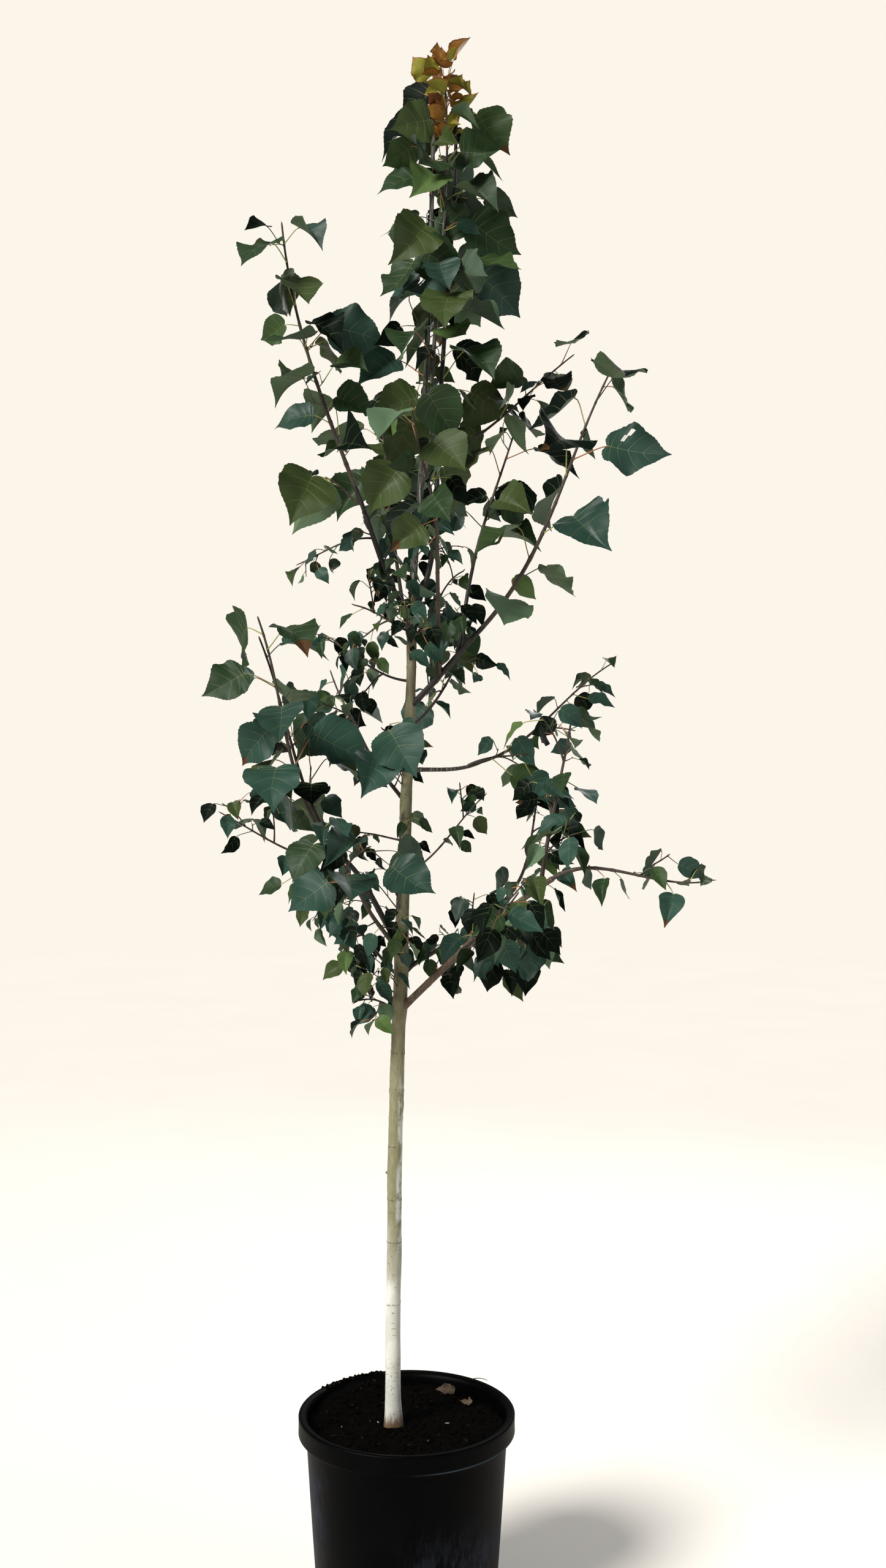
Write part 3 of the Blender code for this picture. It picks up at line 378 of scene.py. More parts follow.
class Route:
    """The centre line of a limb: the solid's chain of points and the smooth curve through them."""

    def __init__(self, controls: Array, times: Array, radii: Array) -> None:
        """Makes the route.

        Args:
            controls: The four control points of its curve.
            times: Where on the curve the chain's points lie, from 0 to 1.
            radii: The radius at each of them.
        """
        self.controls = controls
        self.times = times
        self.points = self.at(times)
        self.radii = radii
        self._measure()

    def _measure(self) -> None:
        """Works out the chain's length, the share of each point, and the direction that angles count from."""
        steps = np.linalg.norm(np.diff(self.points, axis=0), axis=1)
        self.length = float(steps.sum())
        self.shares = np.concatenate(([0.0], np.cumsum(steps))) / self.length
        whole = unit(self.points[-1] - self.points[0])
        self.reference = EAST if abs(whole[0]) < 0.8 else UP

    def at(self, times: Array) -> Array:
        """Places on the smooth curve.

        Args:
            times: Where on it, from 0 to 1.

        Returns:
            A place for each.
        """
        t = np.asarray(times)[..., None]
        s = 1.0 - t
        a, b, c, d = self.controls
        return a * s**3 + b * 3 * s * s * t + c * 3 * s * t * t + d * t**3

    def smooth(self, shares: Array | float) -> Array:
        """Places on the smooth curve at shares of the chain's length."""
        return self.at(np.interp(shares, self.shares, self.times))

    def point(self, share: float) -> Array:
        """The place on the chain at a share of its length."""
        return np.array([np.interp(share, self.shares, self.points[:, k]) for k in range(3)])

    def tangent(self, share: float) -> Array:
        """The direction of the chain's link at a share of its length."""
        link = int(np.clip(np.searchsorted(self.shares, share, side="right") - 1, 0, len(self.points) - 2))
        return unit(self.points[link + 1] - self.points[link])

    def radius(self, share: float | Array) -> float | Array:
        """The radius at a share of the length."""
        return np.interp(share, self.shares, self.radii)

    def side(self, ahead: Array, angle: float) -> Array:
        """A direction square to direction ahead, at an angle about it in degrees."""
        east = unit(self.reference - ahead * np.dot(self.reference, ahead))
        return turned(east, np.cross(ahead, east), angle)


def curve(
    foot: Array, tip: Array, leave: float, arrive: float, thick: Pair, step: float, start: Array | None = None
) -> Route:
    """A route from foot to tip.

    Args:
        foot: Its first point.
        tip: Its last point.
        leave: The rise of its first direction, in degrees.
        arrive: The rise of its last direction, in degrees.
        thick: Its diameters at foot and tip.
        step: The spacing of the chain's points.
        start: Its first direction, in place of leave.

    Returns:
        The route.
    """
    across = (tip - foot) * FLAT
    level = unit(across) if np.linalg.norm(across) > 1e-6 else EAST
    reach = np.linalg.norm(tip - foot)
    first = turned(level, UP, leave) if start is None else start
    last = turned(level, UP, arrive)
    controls = np.array((foot, foot + first * reach * HANDLE, tip - last * reach * HANDLE, tip))
    count = max(2, round(reach / step)) + 1
    return Route(controls, np.linspace(0.0, 1.0, count), np.linspace(thick[0], thick[1], count) / 2)


def sprig(root: Array, out: Array, reach: float, bends: Pair, thick: Pair, step: float) -> Route:
    """A small twig in a direction, which starts and ends so many degrees steeper than that."""
    rise = math.degrees(math.asin(out[2]))
    return curve(root, root + out * reach, rise + bends[0], rise + bends[1], thick, step)


def trunk_route() -> Route:
    """The trunk's route: full thickness to its shoulder, tapering to the fork, with a root flare.

    Returns:
        The route.
    """
    foot, fork = np.array(TRUNK_FOOT), np.array(TRUNK_FORK)
    plain = curve(foot, fork, 90.5, 88.5, TRUNK_THICK, TRUNK_STEP)
    fine = np.linspace(0.0, 0.2, 400)
    low = float(np.interp(foot[2] + FLARE_HEIGHT, plain.at(fine)[:, 2], fine))
    plain.times = np.concatenate(([0.0, low], plain.times[1:]))
    plain.points = np.vstack((foot, foot + UP * FLARE_HEIGHT, plain.points[1:]))
    plain.radii = trunk_radius(plain.points[:, 2])
    plain._measure()
    return plain


def trunk_radius(height: Array) -> Array:
    """The trunk's radius.

    Args:
        height: Heights above the ground.

    Returns:
        The radius at each.
    """
    share = (height - TRUNK_FOOT[2]) / (TRUNK_FORK[2] - TRUNK_FOOT[2])
    past = np.maximum(0.0, share - TRUNK_SHOULDER) / (1 - TRUNK_SHOULDER)
    body = TRUNK_THICK[0] + (TRUNK_THICK[1] - TRUNK_THICK[0]) * (0.35 * share + 0.65 * past)
    return body / 2 + FLARE * np.exp(-(height - TRUNK_FOOT[2]) / FLARE_HEIGHT)


def limb_route(limb: Limb, parent: Route, step: float) -> Route:
    """The route of a limb, on from its parent's tip or out from its centre line.

    Args:
        limb: The limb.
        parent: Its parent's route.
        step: The spacing of its points.

    Returns:
        The route.
    """
    rest = (np.array(limb.tip) / 1000, limb.leave, limb.arrive, metres(limb.thick), step)
    if limb.at < 1.0:
        return curve(parent.point(limb.at), *rest)
    ahead = parent.tangent(1.0)
    return curve(parent.points[-1] + ahead * GAP, *rest, ahead)


def leaf_root(route: Route, sides: int, share: float, angle: float) -> Array:
    """Where a stalk starts, under the middle of the solid's facet that is nearest to an angle about it.

    Args:
        route: The twig.
        sides: The sides of its solid.
        share: Where the leaf leaves, as a share of the twig's length.
        angle: The angle, in degrees.

    Returns:
        The place.
    """
    facet = 360.0 / sides
    nearest = (math.floor(angle / facet) + 0.5) * facet
    depth = max(0.0, float(route.radius(share)) * math.cos(math.pi / sides) - STALK_SUNK)
    return route.point(share) + route.side(route.tangent(share), nearest) * depth


def make_leaf(
    route: Route, sides: int, share: float, angle: float, blade: Pair, droop: Pair, young: bool,
    draw: Sequence[float], key: str, spread: float = FACE_SPREAD,
) -> Leaf:
    """A leaf on a twig.

    Args:
        route: The twig.
        sides: The sides of the twig's solid.
        share: Where it leaves, as a share of the twig's length.
        angle: Where it leaves about the twig, in degrees.
        blade: The least and greatest length of blades there.
        droop: The least and greatest fall of the blades, in degrees.
        young: Whether it is a young leaf, which is small and stands up.
        draw: Nine random numbers from 0 to 1.
        key: The key of its own later draws.
        spread: How far its face may turn from the light.

    Returns:
        The leaf.
    """
    ahead = route.tangent(share)
    side = route.side(ahead, angle)
    length = between(blade, draw[0]) * (YOUNG_LENGTH if young else 1.0)
    rise = between(YOUNG_RISE if young else STALK_RISE, draw[1])
    fall = between(YOUNG_FALL if young else droop, draw[2])
    stalk = unit(turned(side, ahead, rise) - UP * STALK_SAG)
    root = leaf_root(route, sides, share, angle)
    longer = YOUNG_STALK if young else 1.0
    base = root + stalk * length * PETIOLE * between(PETIOLE_FACTORS, draw[3]) * longer
    level = (side + stalk * BLADE_FOLLOW) * FLAT
    level = unit(level) if np.linalg.norm(level) > 0.1 else unit(stalk * FLAT + EAST * 0.01)
    level = turned(level, np.cross(UP, level), YAW_SPREAD * (draw[4] - 0.5))
    along = turned(level, UP, -fall)
    face = LIGHT + side * FACE_OUT + UP * FACE_UP + (np.array(draw[5:8]) - 0.5) * spread
    face = unit(face - along * np.dot(face, along))
    width = BLADE_WIDTH * between(WIDTH_FACTORS, draw[8]) * length
    root = root + route.smooth(share) - route.point(share)
    return Leaf(root, base, along, np.cross(face, along), face, length, width, young, key)


def mass_twigs(mass: Mass, stem: Route) -> Iterator[tuple[int, list[Route]]]:
    """The side twigs of a mass.

    Args:
        mass: The mass.
        stem: The route of its stem.

    Yields:
        Each twig's number, and a route for each turn that it may try.
    """
    for i in range(mass.twigs):
        rng = Random(f"{mass.seed} twig {i}")
        step = (i + 0.5 + TWIG_UNEVEN * (rng.random() - 0.5)) / mass.twigs
        share = between((mass.bare * TWIG_START, LAST_TWIG), step)
        angle = rng.random() * TWIG_TURN + i * DIVERGENCE + mass.seed * SEED_TURN
        reach = mass.twig_reach / 1000 * between(TWIG_LENGTHS, rng.random())
        lift, bend = between(TWIG_LIFT, rng.random()), between(TWIG_BEND, rng.random())
        ahead, root = stem.tangent(share), stem.point(share)
        thick = (min(TWIG_THICK[0], float(stem.radius(share)) * TWIG_OF_STEM), TWIG_THICK[1])
        outs = [unit(stem.side(ahead, angle + turn) + ahead * TWIG_LEAN + UP * lift) for turn in TURNS]
        yield i, [sprig(root, out, reach, (TWIG_STEEPER, bend), thick, TWIG_STEP) for out in outs]


def mass_leaves(mass: Mass, route: Route, twig: int | None) -> Iterator[tuple[float, list[Leaf]]]:
    """The leaves of a stem or of one of its side twigs.

    Args:
        mass: The mass.
        route: The route of the stem or twig.
        twig: The twig's number, or None for the stem.

    Yields:
        Each leaf's share of the route, and the leaf at each turn that it may try.
    """
    main = twig is None
    count, first, sides = mass.twig_leaves, TWIG_BARE, TWIG_SIDES
    if main:
        count, first, sides = mass.leaves, mass.bare, STEM_SIDES
    crowding = YOUNG_CROWDING if mass.young < 1 else 1.0
    start = Random(f"{mass.seed} start {twig}").random() * 360
    for i in range(count):
        key = f"{mass.seed} leaf {twig} {i}"
        rng = Random(key)
        draw = draws(rng)
        step = (i + LEAF_START + LEAF_UNEVEN * rng.random()) / count
        share = between((first, LAST_LEAF), step**crowding)
        angle = start + i * DIVERGENCE + DIVERGENCE_SPREAD * (rng.random() - 0.5)
        sizes = (metres(mass.blade), mass.droop, main and share > mass.young, draw, key)
        yield share, [make_leaf(route, sides, share, angle + turn, *sizes) for turn in TURNS]


def grow(mass: Mass, parent: Route, solid: bpy.types.Object) -> tuple[list, list]:
    """Grows a mass by the rule, and keeps the twigs and leaves that its solid has.

    Args:
        mass: The mass.
        parent: The route of its stem's parent.
        solid: Its solid.

    Returns:
        Its stem and twigs as (number, route), and its leaves as (bearer, share, leaf).
    """
    stem = limb_route(mass.stem, parent, STEM_STEP)
    vertices = solid.data.vertices
    tree = KDTree(len(vertices))
    for i, vertex in enumerate(vertices):
        tree.insert(vertex.co, i)
    tree.balance()

    def stands(place: Array) -> bool:
        """Whether the solid has a corner at a place."""
        return tree.find(Vector(place))[2] < MATCH

    bearers: list[tuple[int | None, Route]] = [(None, stem)]
    for number, routes in mass_twigs(mass, stem):
        found = [route for route in routes if sum(map(stands, twig_ends(route))) >= 2]
        bearers += [(number, route) for route in found[:1]]
    leaves = []
    for number, route in bearers:
        for share, candidates in mass_leaves(mass, route, number):
            found = [leaf for leaf in candidates if stands(leaf_tip(leaf))]
            leaves += [(route, share, leaf) for leaf in found[:1]]
    return bearers, leaves


def twig_ends(route: Route) -> list[Array]:
    """The corners at the end of a twig's solid."""
    ahead = unit(route.points[-1] - route.points[-2])
    return [route.points[-1] + route.side(ahead, 120.0 * k) * route.radii[-1] for k in range(TWIG_SIDES)]


def leaf_tip(leaf: Leaf) -> Array:
    """The tip of a leaf's solid."""
    return leaf.base + leaf.along * leaf.length - leaf.face * leaf.length * BLADE_CURL


# Finer growth.


def inside(leaf: Leaf, box: tuple) -> bool:
    """Whether a leaf keeps to a box."""
    ends = np.array((leaf.base, leaf.base + leaf.along * leaf.length))
    return bool((ends > np.array(box[0]) - OVERHANG).all() and (ends < np.array(box[1]) + OVERHANG).all())


class Bears(NamedTuple):
    """What a finer twig may bear: how many leaves, the lengths and droop of their blades, and the box
    that they keep to, if any."""

    count: int
    blade: Pair
    droop: Pair
    box: tuple | None


class Taken:
    """The blades that are already there, as middles and lengths."""

    def __init__(self, trunk: Route) -> None:
        """Starts with no blades.

        Args:
            trunk: The trunk's route.
        """
        self.middles: list[Array] = []
        self.lengths: list[float] = []
        self.trunk = trunk.smooth(np.linspace(0.0, 1.0, 120))

    def _middle(self, leaf: Leaf) -> Array:
        """The middle of a leaf's blade."""
        return leaf.base + leaf.along * leaf.length * BLADE_MIDDLE

    def add(self, leaf: Leaf) -> None:
        """Takes up a leaf's place."""
        self.middles.append(self._middle(leaf))
        self.lengths.append(leaf.length)

    def free(self, leaf: Leaf, room: float, trunk_room: float) -> bool:
        """Whether a leaf keeps clear.

        Args:
            leaf: The leaf.
            room: The room to other blades, as a share of both lengths.
            trunk_room: The room to the trunk's middle, in metres.

        Returns:
            Whether it does.
        """
        gaps = np.linalg.norm(np.array(self.middles) - self._middle(leaf), axis=1)
        if (gaps < room * (np.array(self.lengths) + leaf.length)).any():
            return False
        clear = np.linalg.norm(self.trunk - self._middle(leaf), axis=1).min()
        return bool(clear > trunk_room + 0.5 * leaf.length)


@dataclass
class FinerTwigs:
    """Finer twigs: the blades that are there, diameters, lean ahead, bend in degrees, the chain's spacing,
    from where and over what angle leaves stand on them, and the room that these need."""

    taken: Taken
    thick: Pair
    lean: float
    bend: float
    step: float
    first: float
    fan: float
    room: float
    trunk_room: float
    last: float = 0.98

    def sprout(
        self, name: str, bearer: Route, share: float, lift: float, reach: Pair, rng: Random, bears: Bears
    ) -> Iterator[tuple[Route, list[Leaf]]]:
        """Grows a twig, where it has room for a leaf.

        Args:
            name: The start of the keys of its leaves' draws.
            bearer: The limb or twig that it stands on.
            share: Where it stands, as a share of the bearer's length.
            lift: How far it leans up.
            reach: Its least and greatest length.
            rng: Its own random draws.
            bears: What it may bear.

        Yields:
            The twig's route with its leaves.
        """
        ahead = bearer.tangent(share)
        out = unit(bearer.side(ahead, rng.random() * 360) + ahead * self.lean + UP * lift)
        root, length = bearer.smooth(share), between(reach, rng.random())
        twig = sprig(root, out, length, (0.0, self.bend), self.thick, self.step)
        leaves = []
        count, blade, droop, box = bears
        for k in range(count):
            key = f"{name} leaf {k}"
            own = Random(key)
            draw = draws(own)
            place = between((self.first, self.last), (k + own.random()) / count)
            angle = own.random() * self.fan + k * DIVERGENCE
            leaf = make_leaf(twig, TWIG_SIDES, place, angle, blade, droop, False, draw, key, FINER_SPREAD)
            if self.taken.free(leaf, self.room, self.trunk_room) and (box is None or inside(leaf, box)):
                self.taken.add(leaf)
                leaves.append(leaf)
        if leaves:
            yield twig, leaves


@dataclass
class Spurs(FinerTwigs):
    """Finer twigs between the leaves of a mass: short spurs that each bear a few smaller leaves."""

    thick: Pair = (0.002, 0.0015)
    lean: float = 0.5
    bend: float = 20.0
    step: float = 0.01
    first: float = 0.45
    fan: float = 120.0
    room: float = 0.33
    trunk_room: float = 0.012
    lift: float = 0.15
    reach: Pair = (0.01, 0.034)
    count: int = 3
    smaller: Pair = (0.55, 0.92)
    last_spur: float = 0.97
    twig_bare: float = 0.6 * TWIG_BARE
    young_blade: Pair = (0.05, 0.085)
    young_tries: int = 60
    young_room: float = 0.26

    def grow(self, mass: Mass, bearers: list, box: tuple) -> Iterator[tuple[Route, list[Leaf]]]:
        """Finds the spurs of a mass that have room.

        Args:
            mass: The mass.
            bearers: Its stem and twigs as (number, route).
            box: The lowest and highest corner that the mass keeps to.

        Yields:
            Each spur's route with its leaves.
        """
        spacing, seed = mass.spurs
        blade = tuple(size * share for size, share in zip(metres(mass.blade), self.smaller))
        bears = Bears(self.count, blade, mass.droop, box)
        for number, bearer in bearers:
            first = mass.bare if number is None else self.twig_bare
            count = round(bearer.length * (self.last_spur - first) / (spacing / 1000))
            for i in range(count):
                name = f"{seed} spur {mass.stem.name} {number} {i}"
                rng = Random(name)
                share = between((first, self.last_spur), (i + 0.2 + 0.6 * rng.random()) / count)
                yield from self.sprout(name, bearer, share, self.lift, self.reach, rng, bears)

    def young(self, mass: Mass, stem: Route, box: tuple) -> Iterator[Leaf]:
        """The further young leaves at the end of a stem that is still growing, where they have room.

        Args:
            mass: The mass.
            stem: The route of its stem.
            box: The lowest and highest corner that the mass keeps to.

        Yields:
            Each leaf.
        """
        for i in range(self.young_tries if mass.young < 1.0 else 0):
            key = f"{mass.seed} young {i}"
            rng = Random(key)
            share = between((mass.young, 1.0), rng.random())
            draw = draws(rng)
            angle = rng.random() * 360
            leaf = make_leaf(stem, STEM_SIDES, share, angle, self.young_blade, mass.droop, True, draw, key)
            if self.taken.free(leaf, self.young_room, 0.0) and inside(leaf, box):
                self.taken.add(leaf)
                yield leaf


@dataclass
class Shoots(FinerTwigs):
    """Small leafy twigs that stand straight on a limb, between the masses."""

    thick: Pair = (0.0028, 0.0016)
    lean: float = 0.45
    bend: float = -25.0
    step: float = 0.015
    first: float = 0.35
    fan: float = 90.0
    room: float = 0.3
    trunk_room: float = 0.004
    lift: Pair = (-0.2, 0.5)

    def grow(self, shoot: Shoot, limb: Route, box: tuple | None) -> Iterator[tuple[Route, list[Leaf]]]:
        """Finds the twigs of a shoot that have room for a leaf.

        Args:
            shoot: The shoot.
            limb: The route of its limb.
            box: The box that its leaves keep to, if any.

        Yields:
            Each twig's route with its leaves.
        """
        bears, reach = Bears(shoot.leaves, metres(shoot.blade), shoot.droop, box), metres(shoot.reach)
        for i in range(shoot.count):
            name = f"{shoot.seed} shoot {shoot.limb} {i}"
            rng = Random(name)
            share = between(shoot.shares, (i + rng.random()) / shoot.count)
            lift = between(self.lift, rng.random())
            yield from self.sprout(name, limb, share, lift, reach, rng, bears)


# Shader maths and finishes.


def operator(kind: str, reflected: bool = False) -> Callable[[Num, Num | float], Num]:
    """One of Num's operators.

    Args:
        kind: The operation of the Math node that it adds.
        reflected: Whether the other term comes first.

    Returns:
        The operator.
    """

    def method(this: Num, other: Num | float) -> Num:
        """The node's value."""
        terms = (other, this) if reflected else (this, other)
        return this.graph.node("Math", {"operation": kind}, dict(enumerate(terms)))

    return method


@dataclass
class Num:
    """A shader socket that takes part in Python sums. Each operator adds one Math node."""

    graph: Graph
    socket: bpy.types.NodeSocket

    __add__, __radd__ = operator("ADD"), operator("ADD", True)
    __sub__, __rsub__ = operator("SUBTRACT"), operator("SUBTRACT", True)
    __mul__, __rmul__ = operator("MULTIPLY"), operator("MULTIPLY", True)

    def rise(self, low: float, high: float) -> Num:
        """A smooth step from 0 to 1, or down where low is the greater.

        Args:
            low: Where it is 0.
            high: Where it is 1.

        Returns:
            The step.
        """
        start, end = (0.0, 1.0) if low < high else (1.0, 0.0)
        span = {"From Min": min(low, high), "From Max": max(low, high), "To Min": start, "To Max": end}
        return self.graph.node("MapRange", {"interpolation_type": "SMOOTHSTEP"}, {"Value": self} | span)


class Graph:
    """A material with one Principled shader and the nodes that feed it."""

    def __init__(self, name: str) -> None:
        """Starts a material.

        Args:
            name: Its name.
        """
        self.material = bpy.data.materials.new(name)
        self.material.use_nodes = True
        self.tree = self.material.node_tree
        self.shader = self.tree.nodes["Principled BSDF"]

    def node(
        self, kind: str, settings: dict | None = None, inputs: dict | None = None, output: str | int = 0
    ) -> Num:
        """Adds a node.

        Args:
            kind: The node's type, without its ShaderNode.
            settings: Its own settings.
            inputs: Values or sockets for its inputs, by name or place.
            output: The output that is handed back.

        Returns:
            The output as a Num.
        """
        made = self.tree.nodes.new("ShaderNode" + kind)
        for key, value in (settings or {}).items():
            setattr(made, key, value)
        for key, value in (inputs or {}).items():
            self._feed(made.inputs[key], value)
        return Num(self, made.outputs[output])

    def _feed(self, socket: bpy.types.NodeSocket, value: object) -> None:
        """Links a Num to a socket, or sets the socket's value.

        Args:
            socket: The socket.
            value: The Num, number, colour or vector.
        """
        if isinstance(value, Num):
            self.tree.links.new(value.socket, socket)
        elif socket.type == "RGBA":
            socket.default_value = (*value, 1.0)
        else:
            socket.default_value = value

    def place(self, scale: Point = (1.0, 1.0, 1.0)) -> Num:
        """The place on the object, stretched by a scale along each axis."""
        here = self.node("TexCoord", output="Object")
        return self.node("Mapping", {"vector_type": "POINT"}, {"Vector": here, "Scale": scale})

    def noise(
        self, scale: float, tall: float = 1.0, detail: float = 3.0, rough: float = 0.55, wide: float = 1.0
    ) -> Num:
        """Noise from about 0 to 1.

        Args:
            scale: How many features a metre it has.
            tall: That number's factor upwards.
            detail: The detail.
            rough: The roughness.
            wide: The factor of scale across.

        Returns:
            The noise.
        """
        place = self.place((wide, wide, tall))
        inputs = {"Vector": place, "Scale": scale, "Detail": detail, "Roughness": rough}
        return self.node("TexNoise", None, inputs)

    def axis(self, name: str) -> Num:
        """One coordinate of the place on the object, "X", "Y" or "Z", in metres."""
        return self.node("SeparateXYZ", None, {"Vector": self.place()}, output=name)

    def mix(self, share: Num | float, first: Num | Colour, second: Num | Colour) -> Num:
        """The mix of two colours."""
        return self.node("Mix", {"data_type": "RGBA"}, {0: share, 6: first, 7: second}, output=2)

    def bump(self, height: Num, distance: float, strength: float = 1.0) -> Num:
        """The normal of a surface raised by height times distance."""
        return self.node("Bump", None, {"Strength": strength, "Distance": distance, "Height": height})

    def dress(self, **inputs: object) -> bpy.types.Material:
        """Sets or links the shader's inputs.

        Args:
            **inputs: Their values by name, with _ for a blank.

        Returns:
            The material.
        """
        for key, value in inputs.items():
            self._feed(self.shader.inputs[key.replace("_", " ")], value)
        return self.material


@dataclass(frozen=True)
class BladeFinish:
    """A leaf's skin: one plain green with a satin, finely pitted surface."""

    name: str
    colour: Colour
    gloss: float = 0.4
    shine: float = 0.14

    def material(self) -> bpy.types.Material:
        """Builds the finish.

        Returns:
            The material.
        """
        graph = Graph(self.name)
        cells = graph.noise(900.0, detail=2.0)
        patches = graph.noise(60.0)
        return graph.dress(
            Base_Color=self.colour,
            Roughness=self.gloss + 0.16 * patches,
            Specular_IOR_Level=self.shine,
            Normal=graph.bump(cells + 1.5 * patches, 0.0004, 0.35),
        )


@dataclass(frozen=True)
class GrowthFinish:
    """Veins, stalks, buds and other soft growth: a plain colour, waxy and lightly ridged."""

    name: str
    colour: Colour
    gloss: float = 0.45

    def material(self) -> bpy.types.Material:
        """Builds the finish.

        Returns:
            The material.
        """
        graph = Graph(self.name)
        ridges = graph.noise(500.0, 0.15, detail=2.0)
        return graph.dress(
            Base_Color=self.colour,
            Roughness=self.gloss + 0.14 * ridges,
            Specular_IOR_Level=0.4,
            Normal=graph.bump(ridges, 0.0003, 0.4),
        )


@dataclass(frozen=True)
class BoughFinish:
    """The bark of a bough or stem: streaks along it, small pale lenticels and a satin skin."""

    name: str
    dark: Colour
    light: Colour
    streak: Colour
    streaks: float
    gloss: float = 0.5

    def material(self) -> bpy.types.Material:
        """Builds the finish.

        Returns:
            The material.
        """
        graph = Graph(self.name)
        grain = graph.noise(420.0, 0.12, detail=4.0)
        broad = graph.noise(45.0, 0.35)
        base = graph.mix((0.6 * grain + 0.6 * broad).rise(0.38, 0.82), self.dark, self.light)
        lines = graph.noise(330.0, 0.05, detail=2.0).rise(0.66 - 0.16 * self.streaks, 0.74)
        pores = graph.noise(520.0, 1.6, detail=1.0, wide=0.7).rise(0.67, 0.74)
        colour = graph.mix(lines * self.streaks, base, self.streak)
        colour = graph.mix(pores * 0.55, colour, self.streak)
        return graph.dress(
            Base_Color=colour,
            Roughness=self.gloss + 0.2 * grain,
            Specular_IOR_Level=0.4,
            Normal=graph.bump(grain + pores, 0.0005, 0.5),
        )


@dataclass(frozen=True)
class TrunkFinish:
    """The trunk's bark: soiled foot, creamy lower part, greenish tan above, olive brown under the fork, with
    a few lenticels, broken ring scars, a pale scuff down its right side and dark patches of painted shadow on
    its left."""

    name: str
    foot: float = SOIL_LEVEL
    cream_top: float = 0.7
    # The heights between which dark patches paint shadow on the trunk.
    shadow_heights: Pair = (1.34, 1.72)
    specks: Pair = (0.44, 0.52)
    scuffs: Pair = (0.74, 1.06)
    rings: tuple[float, ...] = (0.628, 0.749, 0.832, 0.935, 1.047, 1.117, 1.305, 1.462, 1.573, 1.741)
    soiled: Colour = (0.1, 0.058, 0.028)
    cream: Colour = (0.56, 0.56, 0.5)
    tan: Colour = (0.176, 0.166, 0.086)
    golden: Colour = (0.122, 0.106, 0.05)
    fork: Colour = (0.098, 0.082, 0.044)
    scuffed: Colour = (0.52, 0.53, 0.49)
    scar: Colour = (0.055, 0.04, 0.026)
    # The near black of the painted shadow patches.
    black: Colour = (0.012, 0.01, 0.008)

    def _middle(self, height: Num) -> Num:
        """The trunk's middle, from its route's curve in powers of the share.

        Args:
            height: The height.

        Returns:
            How far right it is there.
        """
        first, second, third, last = (float(x) for x in trunk_route().controls[:, 0])
        share = (height - TRUNK_FOOT[2]) * (1.0 / (TRUNK_FORK[2] - TRUNK_FOOT[2]))
        square = 3 * (first - 2 * second + third)
        cube = last - first + 3 * (second - third)
        return first + share * (3 * (second - first) + share * (square + share * cube))

    def _band(self, height: Num, span: Pair, edge: float) -> Num:
        """1 between two heights and 0 outside them, with soft edges of a given depth."""
        low, high = span
        return height.rise(low - edge, low + edge) * height.rise(high + edge, high - edge)

    def material(self) -> bpy.types.Material:
        """Builds the finish.

        Returns:
            The material.
        """
        graph = Graph(self.name)
        height = graph.axis("Z")
        broad = graph.noise(9.0, 0.6)
        fine = graph.noise(240.0, 0.25, detail=5.0)
        right = graph.axis("X") - self._middle(height)
        edge = height + 0.34 * (broad - 0.5) + 0.1 * (fine - 0.5)
        colour = graph.mix(edge.rise(self.cream_top - 0.06, self.cream_top + 0.1), self.cream, self.tan)
        mottle = graph.noise(26.0, 0.5, detail=4.0).rise(0.42, 0.62)
        upper = edge.rise(0.85, 1.25)
        colour = graph.mix(mottle * (0.2 + 0.6 * upper), colour, self.golden)
        colour = graph.mix(edge.rise(1.66, 2.0), colour, self.fork)
        colour = graph.mix(fine.rise(0.4, 0.75) * 0.14, colour, self.cream)
        streaks = graph.noise(60.0, 0.4, detail=5.0, rough=0.65)
        scuff = self._band(height, self.scuffs, 0.05) * (right + 0.012 * (streaks - 0.5)).rise(0.002, 0.008)
        colour = graph.mix(scuff * streaks.rise(0.42, 0.56) * 0.85, colour, self.scuffed)
        broken = graph.noise(150.0, 0.5, detail=2.0)
        for ring in self.rings:
            line = self._band(height + 0.003 * (broad - 0.5), (ring - 0.0011, ring + 0.0011), 0.0011)
            colour = graph.mix(line * broken.rise(0.42, 0.6) * 0.85, colour, self.scar)
        pores = graph.noise(95.0, 4.2, detail=1.5).rise(0.7, 0.735)
        colour = graph.mix(pores * 0.75, colour, self.scar)
        # Painted shadow: dark patches between two heights, mostly on the trunk's left side.
        shadow_band = self._band(height, self.shadow_heights, 0.05)
        shadow_noise = graph.noise(34.0, 0.45, detail=5.0, rough=0.65)
        left = (right + 0.03 * (shadow_noise - 0.5)).rise(0.003, -0.004)
        colour = graph.mix(shadow_band * (left * 0.8 + 0.25) * shadow_noise.rise(0.44, 0.58) * 0.95, colour, self.black)
        spots = graph.noise(210.0, detail=2.0).rise(0.6, 0.66)
        colour = graph.mix(self._band(height, self.specks, 0.015) * spots * 0.5, colour, self.scar)
        splash = (height + 0.03 * (fine - 0.5)).rise(self.foot + 0.036, self.foot + 0.004)
        colour = graph.mix(splash, colour, self.soiled)
        relief = fine + 0.5 * mottle - 0.8 * pores
        return graph.dress(
            Base_Color=colour,
            Roughness=0.58 + 0.22 * fine,
            Specular_IOR_Level=0.35,
            Normal=graph.bump(relief, 0.0007, 0.6),
        )


